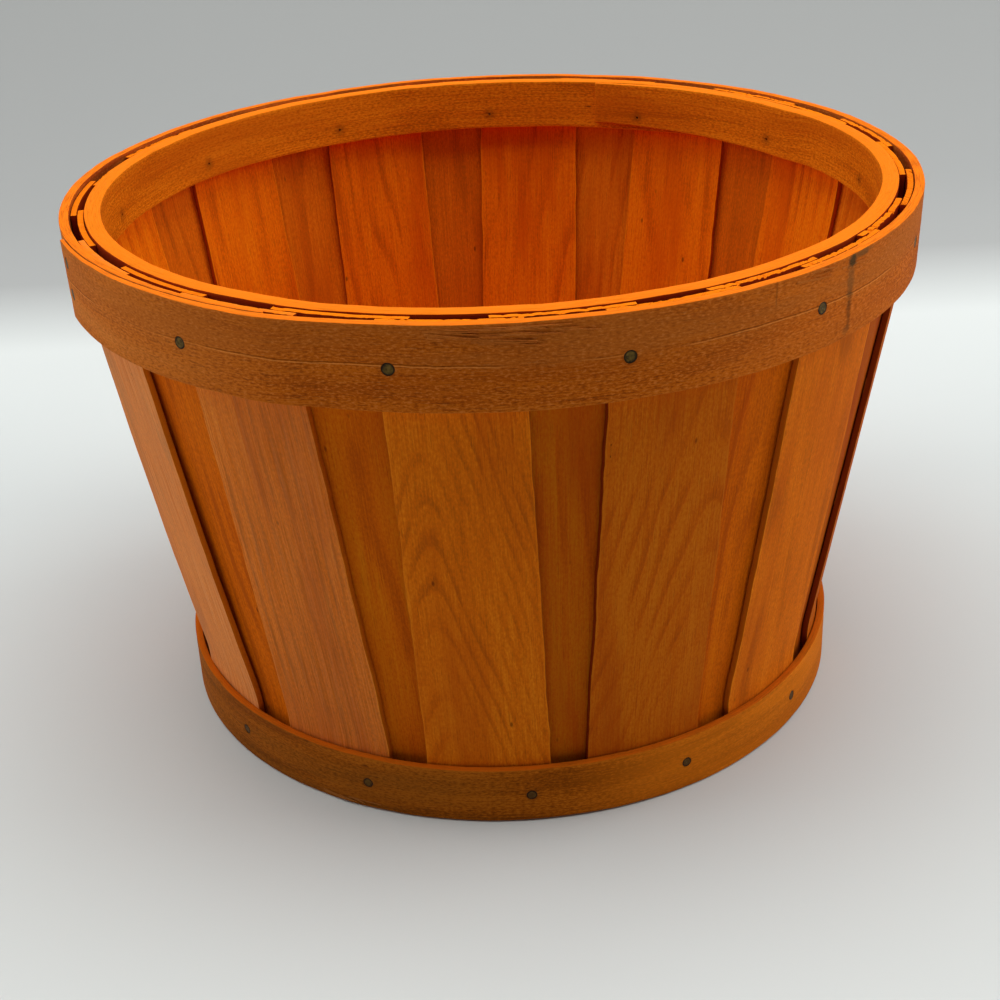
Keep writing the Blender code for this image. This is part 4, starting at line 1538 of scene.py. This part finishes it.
def bend_hoop(node, seats, side, wall, lap, lap_angle, cutter, wood, slot, seed, nails, bruised,
              narrowing=0.0):
    """A hoop in the place of a node, between the heights and on the seats that the node has."""
    low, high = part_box(node)
    piece = grow(
        "bent_" + node,
        hoop_tree,
        Round_Trip=math.tau * sum(seats) / 2,
        Lap=lap,
        Ramp=HOOP_RAMP,
        Wall=wall,
        Tip=HOOP_TIP,
        Clearance=CLEARANCE,
        Narrowing=narrowing,
        Bottom=low.z,
        Top=high.z,
        Seat_Bottom=seats[0],
        Seat_Top=seats[1],
        Side=side,
        Lap_Angle=lap_angle,
        Waver=HOOP_WAVER,
        Steps=HOOP_STEPS,
        Seed=seed,
        Grain_Place=(seed, seed, 0.0),
        Material=wood,
    )
    ease_edges(piece, HOOP_EASING, cutter)
    lift_fibres(piece, TORN_FIBRES.get(node, []))
    bruise(piece, nails, bruised)
    finish_piece(piece, slot, node)
    print(node, len(piece.data.polygons), "faces")


def level_seats(node, nearest):
    """A hoop's seat at its bottom and its top: its least or its greatest distance there."""
    distances, angles, heights = measure(node)
    bottom = distances[heights < heights.min() + SAME_HEIGHT]
    top = distances[heights > heights.max() - SAME_HEIGHT]
    return nearest(bottom), nearest(top)


bend_hoop(
    "outer_rim_hoop",
    seats=level_seats("outer_rim_hoop", min),
    side=1,
    wall=3.2 * MM,
    lap=98 * MM,
    lap_angle=nail_reach("rim_nail_01")[0] - LAP_NAIL_FROM_END / seat_top,
    cutter=rim_cutter,
    wood=rim_strip,
    slot="rim_hoop",
    seed=2.0,
    nails=rim_nails,
    bruised=0.5,
)
bend_hoop(
    "inner_rim_hoop",
    seats=level_seats("inner_rim_hoop", max),
    side=-1,
    wall=5.3 * MM,
    lap=88 * MM,
    lap_angle=math.radians(70),
    cutter=rim_cutter,
    wood=inner_strip,
    slot="rim_hoop",
    seed=5.0,
    nails=rim_nails,
    bruised=0.45,
    narrowing=2.6 * MM,
)
bend_hoop(
    "bottom_hoop",
    seats=level_seats("bottom_hoop", min),
    side=1,
    wall=2.6 * MM,
    lap=70 * MM,
    lap_angle=math.radians(112),
    cutter=bottom_cutter,
    wood=foot_strip,
    slot="bottom_hoop",
    seed=8.0,
    nails=bottom_nails,
    bruised=0.4,
)

# %% [markdown]
# The nails' steel is dull and olive brown, brighter in the middle where the hammer struck and
# nearly black round the rim. The points, which come out inside, are stained by dye and rust,
# and down at the foot, where the wet dye collected, so are the heads. Bare steel would be fully
# metallic. Under tarnish and dye it hardly is, so the shader is nearly that of a paint.

# %% Tarnish the steel
STEEL_METALLIC = 0.1
STEEL_ROUGHNESS = 0.6
STEEL_SHINE = 0.12

nail_steel = bpy.data.materials.new("dulled_steel")
nail_steel.use_nodes = True
tree = nail_steel.node_tree
shader = tree.nodes["Principled BSDF"]
shader.inputs["Metallic"].default_value = STEEL_METALLIC
shader.inputs["Roughness"].default_value = STEEL_ROUGHNESS
shader.inputs["Specular IOR Level"].default_value = STEEL_SHINE
place = add(tree, "ShaderNodeTexCoord").outputs["Object"]
tarnish = add(tree, "ShaderNodeTexNoise", {"Vector": place, "Scale": 900.0, "Detail": 3.0})
ramp = add(tree, "ShaderNodeValToRGB", {"Fac": tarnish})
stops = ramp.color_ramp.elements
stops[0].position = 0.35
stops[0].color = linear("#38260A")
stops[1].position = 0.68
stops[1].color = linear("#6C5420")
tree.links.new(ramp.outputs["Color"], shader.inputs["Base Color"])

# Struck middle, stained foot, dark rim and rusty point, one over another
from_axis = add(tree, "ShaderNodeAttribute", attribute_name="from_axis").outputs["Fac"]
down_nail = add(tree, "ShaderNodeAttribute", attribute_name="down_nail").outputs["Fac"]
height = add(tree, "ShaderNodeSeparateXYZ", {0: place}).outputs["Z"]
struck = add(tree, "ShaderNodeMath", {0: tarnish, 1: 1.5, 2: from_axis}, operation="MULTIPLY_ADD")
for value, start, end, low, high, tone in (
    (struck, 0.72, 1.12, 0.75, 0.0, "#A09C70"),
    (height, 30 * MM, 60 * MM, 0.5, 0.0, "#5C3408"),
    (from_axis, 0.65, 0.95, 0.0, 0.85, "#1E1006"),
    (down_nail, 0.6, 0.8, 0.0, 0.9, "#6A260A"),
):
    mask = add(
        tree, "ShaderNodeMapRange", {0: value, 1: start, 2: end, 3: low, 4: high}, **SMOOTH
    )
    overlay(nail_steel, mask, tone)
print("the steel has", len(tree.nodes), "nodes")

# %% Build the nail tree
NAIL_TILT = 0.05

tree, given = new_tree(
    "nail",
    Places="Geometry",
    Head_Radius="Float",
    Head_Thickness="Float",
    Shank_Radius="Float",
    Length="Float",
    Point="Float",
    Material="Material",
)
nail_tree = tree

# One closed skin of five rings, from the head's top over its rim and down the shank to the tip
bar = add(
    tree,
    "GeometryNodeMeshCylinder",
    {"Vertices": NAIL_SIDES, "Side Segments": 4, "Fill Segments": 2, "Radius": 1.0, "Depth": 1.0},
)
position = add(tree, "GeometryNodeInputPosition")
parts = add(tree, "ShaderNodeSeparateXYZ", {0: position})
from_top = add(tree, "ShaderNodeMath", {0: 0.5, 1: parts.outputs["Z"]}, operation="SUBTRACT")
rings_down = add(tree, "ShaderNodeMath", {0: from_top, 1: 4.0}, operation="MULTIPLY")
ring = add(tree, "ShaderNodeMath", {0: rings_down}, operation="ROUND")
shank_end = add(
    tree, "ShaderNodeMath", {0: given["Length"], 1: given["Point"]}, operation="SUBTRACT"
)
head_edge, shank_edge, under_head = given["Head Radius"], given["Shank Radius"], given["Head Thickness"]
radii = [head_edge, head_edge, shank_edge, shank_edge, NAIL_TIP_RADIUS]
depths = [0.0, under_head, under_head, shank_end.outputs[0], given["Length"]]
radius = choose(tree, "FLOAT", ring, radii)
depth = choose(tree, "FLOAT", ring, depths)
wide_x = add(tree, "ShaderNodeMath", {0: parts.outputs["X"], 1: radius}, operation="MULTIPLY")
wide_y = add(tree, "ShaderNodeMath", {0: parts.outputs["Y"], 1: radius}, operation="MULTIPLY")
down = add(tree, "ShaderNodeMath", {0: depth, 1: -1.0}, operation="MULTIPLY")
lathed = add(tree, "ShaderNodeCombineXYZ", {"X": wide_x, "Y": wide_y, "Z": down})
shaped = add(
    tree, "GeometryNodeSetPosition", {"Geometry": bar.outputs["Mesh"], "Position": lathed}
)

# How far from its axis a point is, against its head's radius, and how far down the nail
level = add(
    tree, "ShaderNodeVectorMath", {0: position, 1: (1.0, 1.0, 0.0)}, operation="MULTIPLY"
)
from_axis = add(tree, "ShaderNodeVectorMath", {0: level}, operation="LENGTH").outputs["Value"]
head_share = add(tree, "ShaderNodeMath", {0: from_axis, 1: head_edge}, operation="DIVIDE")
down_share = add(
    tree, "ShaderNodeMath", {0: parts.outputs["Z"], 1: given["Length"]}, operation="DIVIDE"
)
down_nail = add(tree, "ShaderNodeMath", {0: down_share}, operation="ABSOLUTE")
nail = keep_marks(tree, shaped, "POINT", from_axis=head_share, down_nail=down_nail)

# Each faces away from the basket's axis, a little out of true, and is as long as its solid
facing = add(tree, "FunctionNodeAlignRotationToVector", {"Vector": level})
tilt = add(
    tree,
    "FunctionNodeRandomValue",
    {"Min": (-NAIL_TILT, -NAIL_TILT, -3.0), "Max": (NAIL_TILT, NAIL_TILT, 3.0), "Seed": 4},
    data_type="FLOAT_VECTOR",
)
tilted = add(tree, "FunctionNodeRotateRotation", {0: facing, 1: tilt}, rotation_space="LOCAL")
reach_here = add(tree, "GeometryNodeInputNamedAttribute", {"Name": "reach"}, data_type="FLOAT")
stretch = add(
    tree, "ShaderNodeMath", {0: reach_here, 1: given["Length"]}, operation="DIVIDE"
)
size = add(tree, "ShaderNodeCombineXYZ", {"X": 1.0, "Y": 1.0, "Z": stretch})
driven = add(
    tree,
    "GeometryNodeInstanceOnPoints",
    {"Points": given["Places"], "Instance": nail, "Rotation": tilted, "Scale": size},
)
end_tree(tree, driven, given["Material"])


# %% Drive the nails
def drive_nails(name, nodes, head_radius):
    """One mesh of nails, each in the place of its node."""
    reaches = [nail_reach(node) for node in nodes]
    places = bpy.data.meshes.new(name + "_places")
    corners = [(head * math.cos(a), head * math.sin(a), z) for a, z, head, point in reaches]
    places.from_pydata(corners, [], [])
    lengths = places.attributes.new("reach", "FLOAT", "POINT")
    lengths.data.foreach_set("value", [head - point for a, z, head, point in reaches])
    piece = grow(
        name,
        nail_tree,
        places,
        Head_Radius=head_radius,
        Head_Thickness=NAIL_HEAD_THICKNESS,
        Shank_Radius=NAIL_SHANK_RADIUS,
        Length=reaches[0][2] - reaches[0][3],
        Point=NAIL_POINT_LENGTH,
        Material=nail_steel,
    )
    finish_piece(piece, "nail", *nodes)
    print(name, len(piece.data.polygons), "faces")


drive_nails("driven_rim_nails", rim_nails, RIM_NAIL_HEAD_RADIUS)
drive_nails("driven_bottom_nails", bottom_nails, FOOT_NAIL_HEAD_RADIUS)
for cutter in (rim_cutter, bottom_cutter):
    bpy.data.objects.remove(cutter)

# %% [markdown]
# Bottom board. A round of solid board, sawn out and a little rough, seen from above inside the
# basket and from below. Its grain runs straight across. A disc with its edges taken off is all
# it needs, so it is made at once and not by a tree.

# %% Saw the bottom board
BOARD_SIDES = 180
BOARD_EASING = 0.6 * MM

board_low, board_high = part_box("bottom_board")
board_radius = measure("bottom_board")[0].max()
bm = bmesh.new()
bmesh.ops.create_cone(
    bm,
    cap_ends=True,
    segments=BOARD_SIDES,
    radius1=board_radius,
    radius2=board_radius,
    depth=board_high.z - board_low.z,
)
bmesh.ops.translate(bm, verts=bm.verts, vec=(0, 0, (board_low.z + board_high.z) / 2))
rims = [edge for edge in bm.edges if abs(edge.verts[0].co.z - edge.verts[1].co.z) < 1e-6]
bmesh.ops.bevel(bm, geom=rims, offset=BOARD_EASING, segments=2, affect="EDGES")
grain_layer = bm.loops.layers.uv.new("grain")
for face in bm.faces:
    for loop in face.loops:
        corner = loop.vert.co
        loop[grain_layer].uv = (corner.x + corner.z, corner.y + 3.0)
board_mesh = bpy.data.meshes.new("sawn_bottom_board")
bm.to_mesh(board_mesh)
bm.free()
board_mesh.materials.append(board_wood)
from_rim = [board_radius - math.hypot(corner.co.x, corner.co.y) for corner in board_mesh.vertices]
inside_edge = board_mesh.attributes.new("to_corner", "FLOAT", "POINT")
inside_edge.data.foreach_set("value", from_rim)
board = bpy.data.objects.new("sawn_bottom_board", board_mesh)
bpy.context.scene.collection.objects.link(board)
finish_piece(board, "board", "bottom_board")
print("board:", len(board_mesh.polygons), "faces")
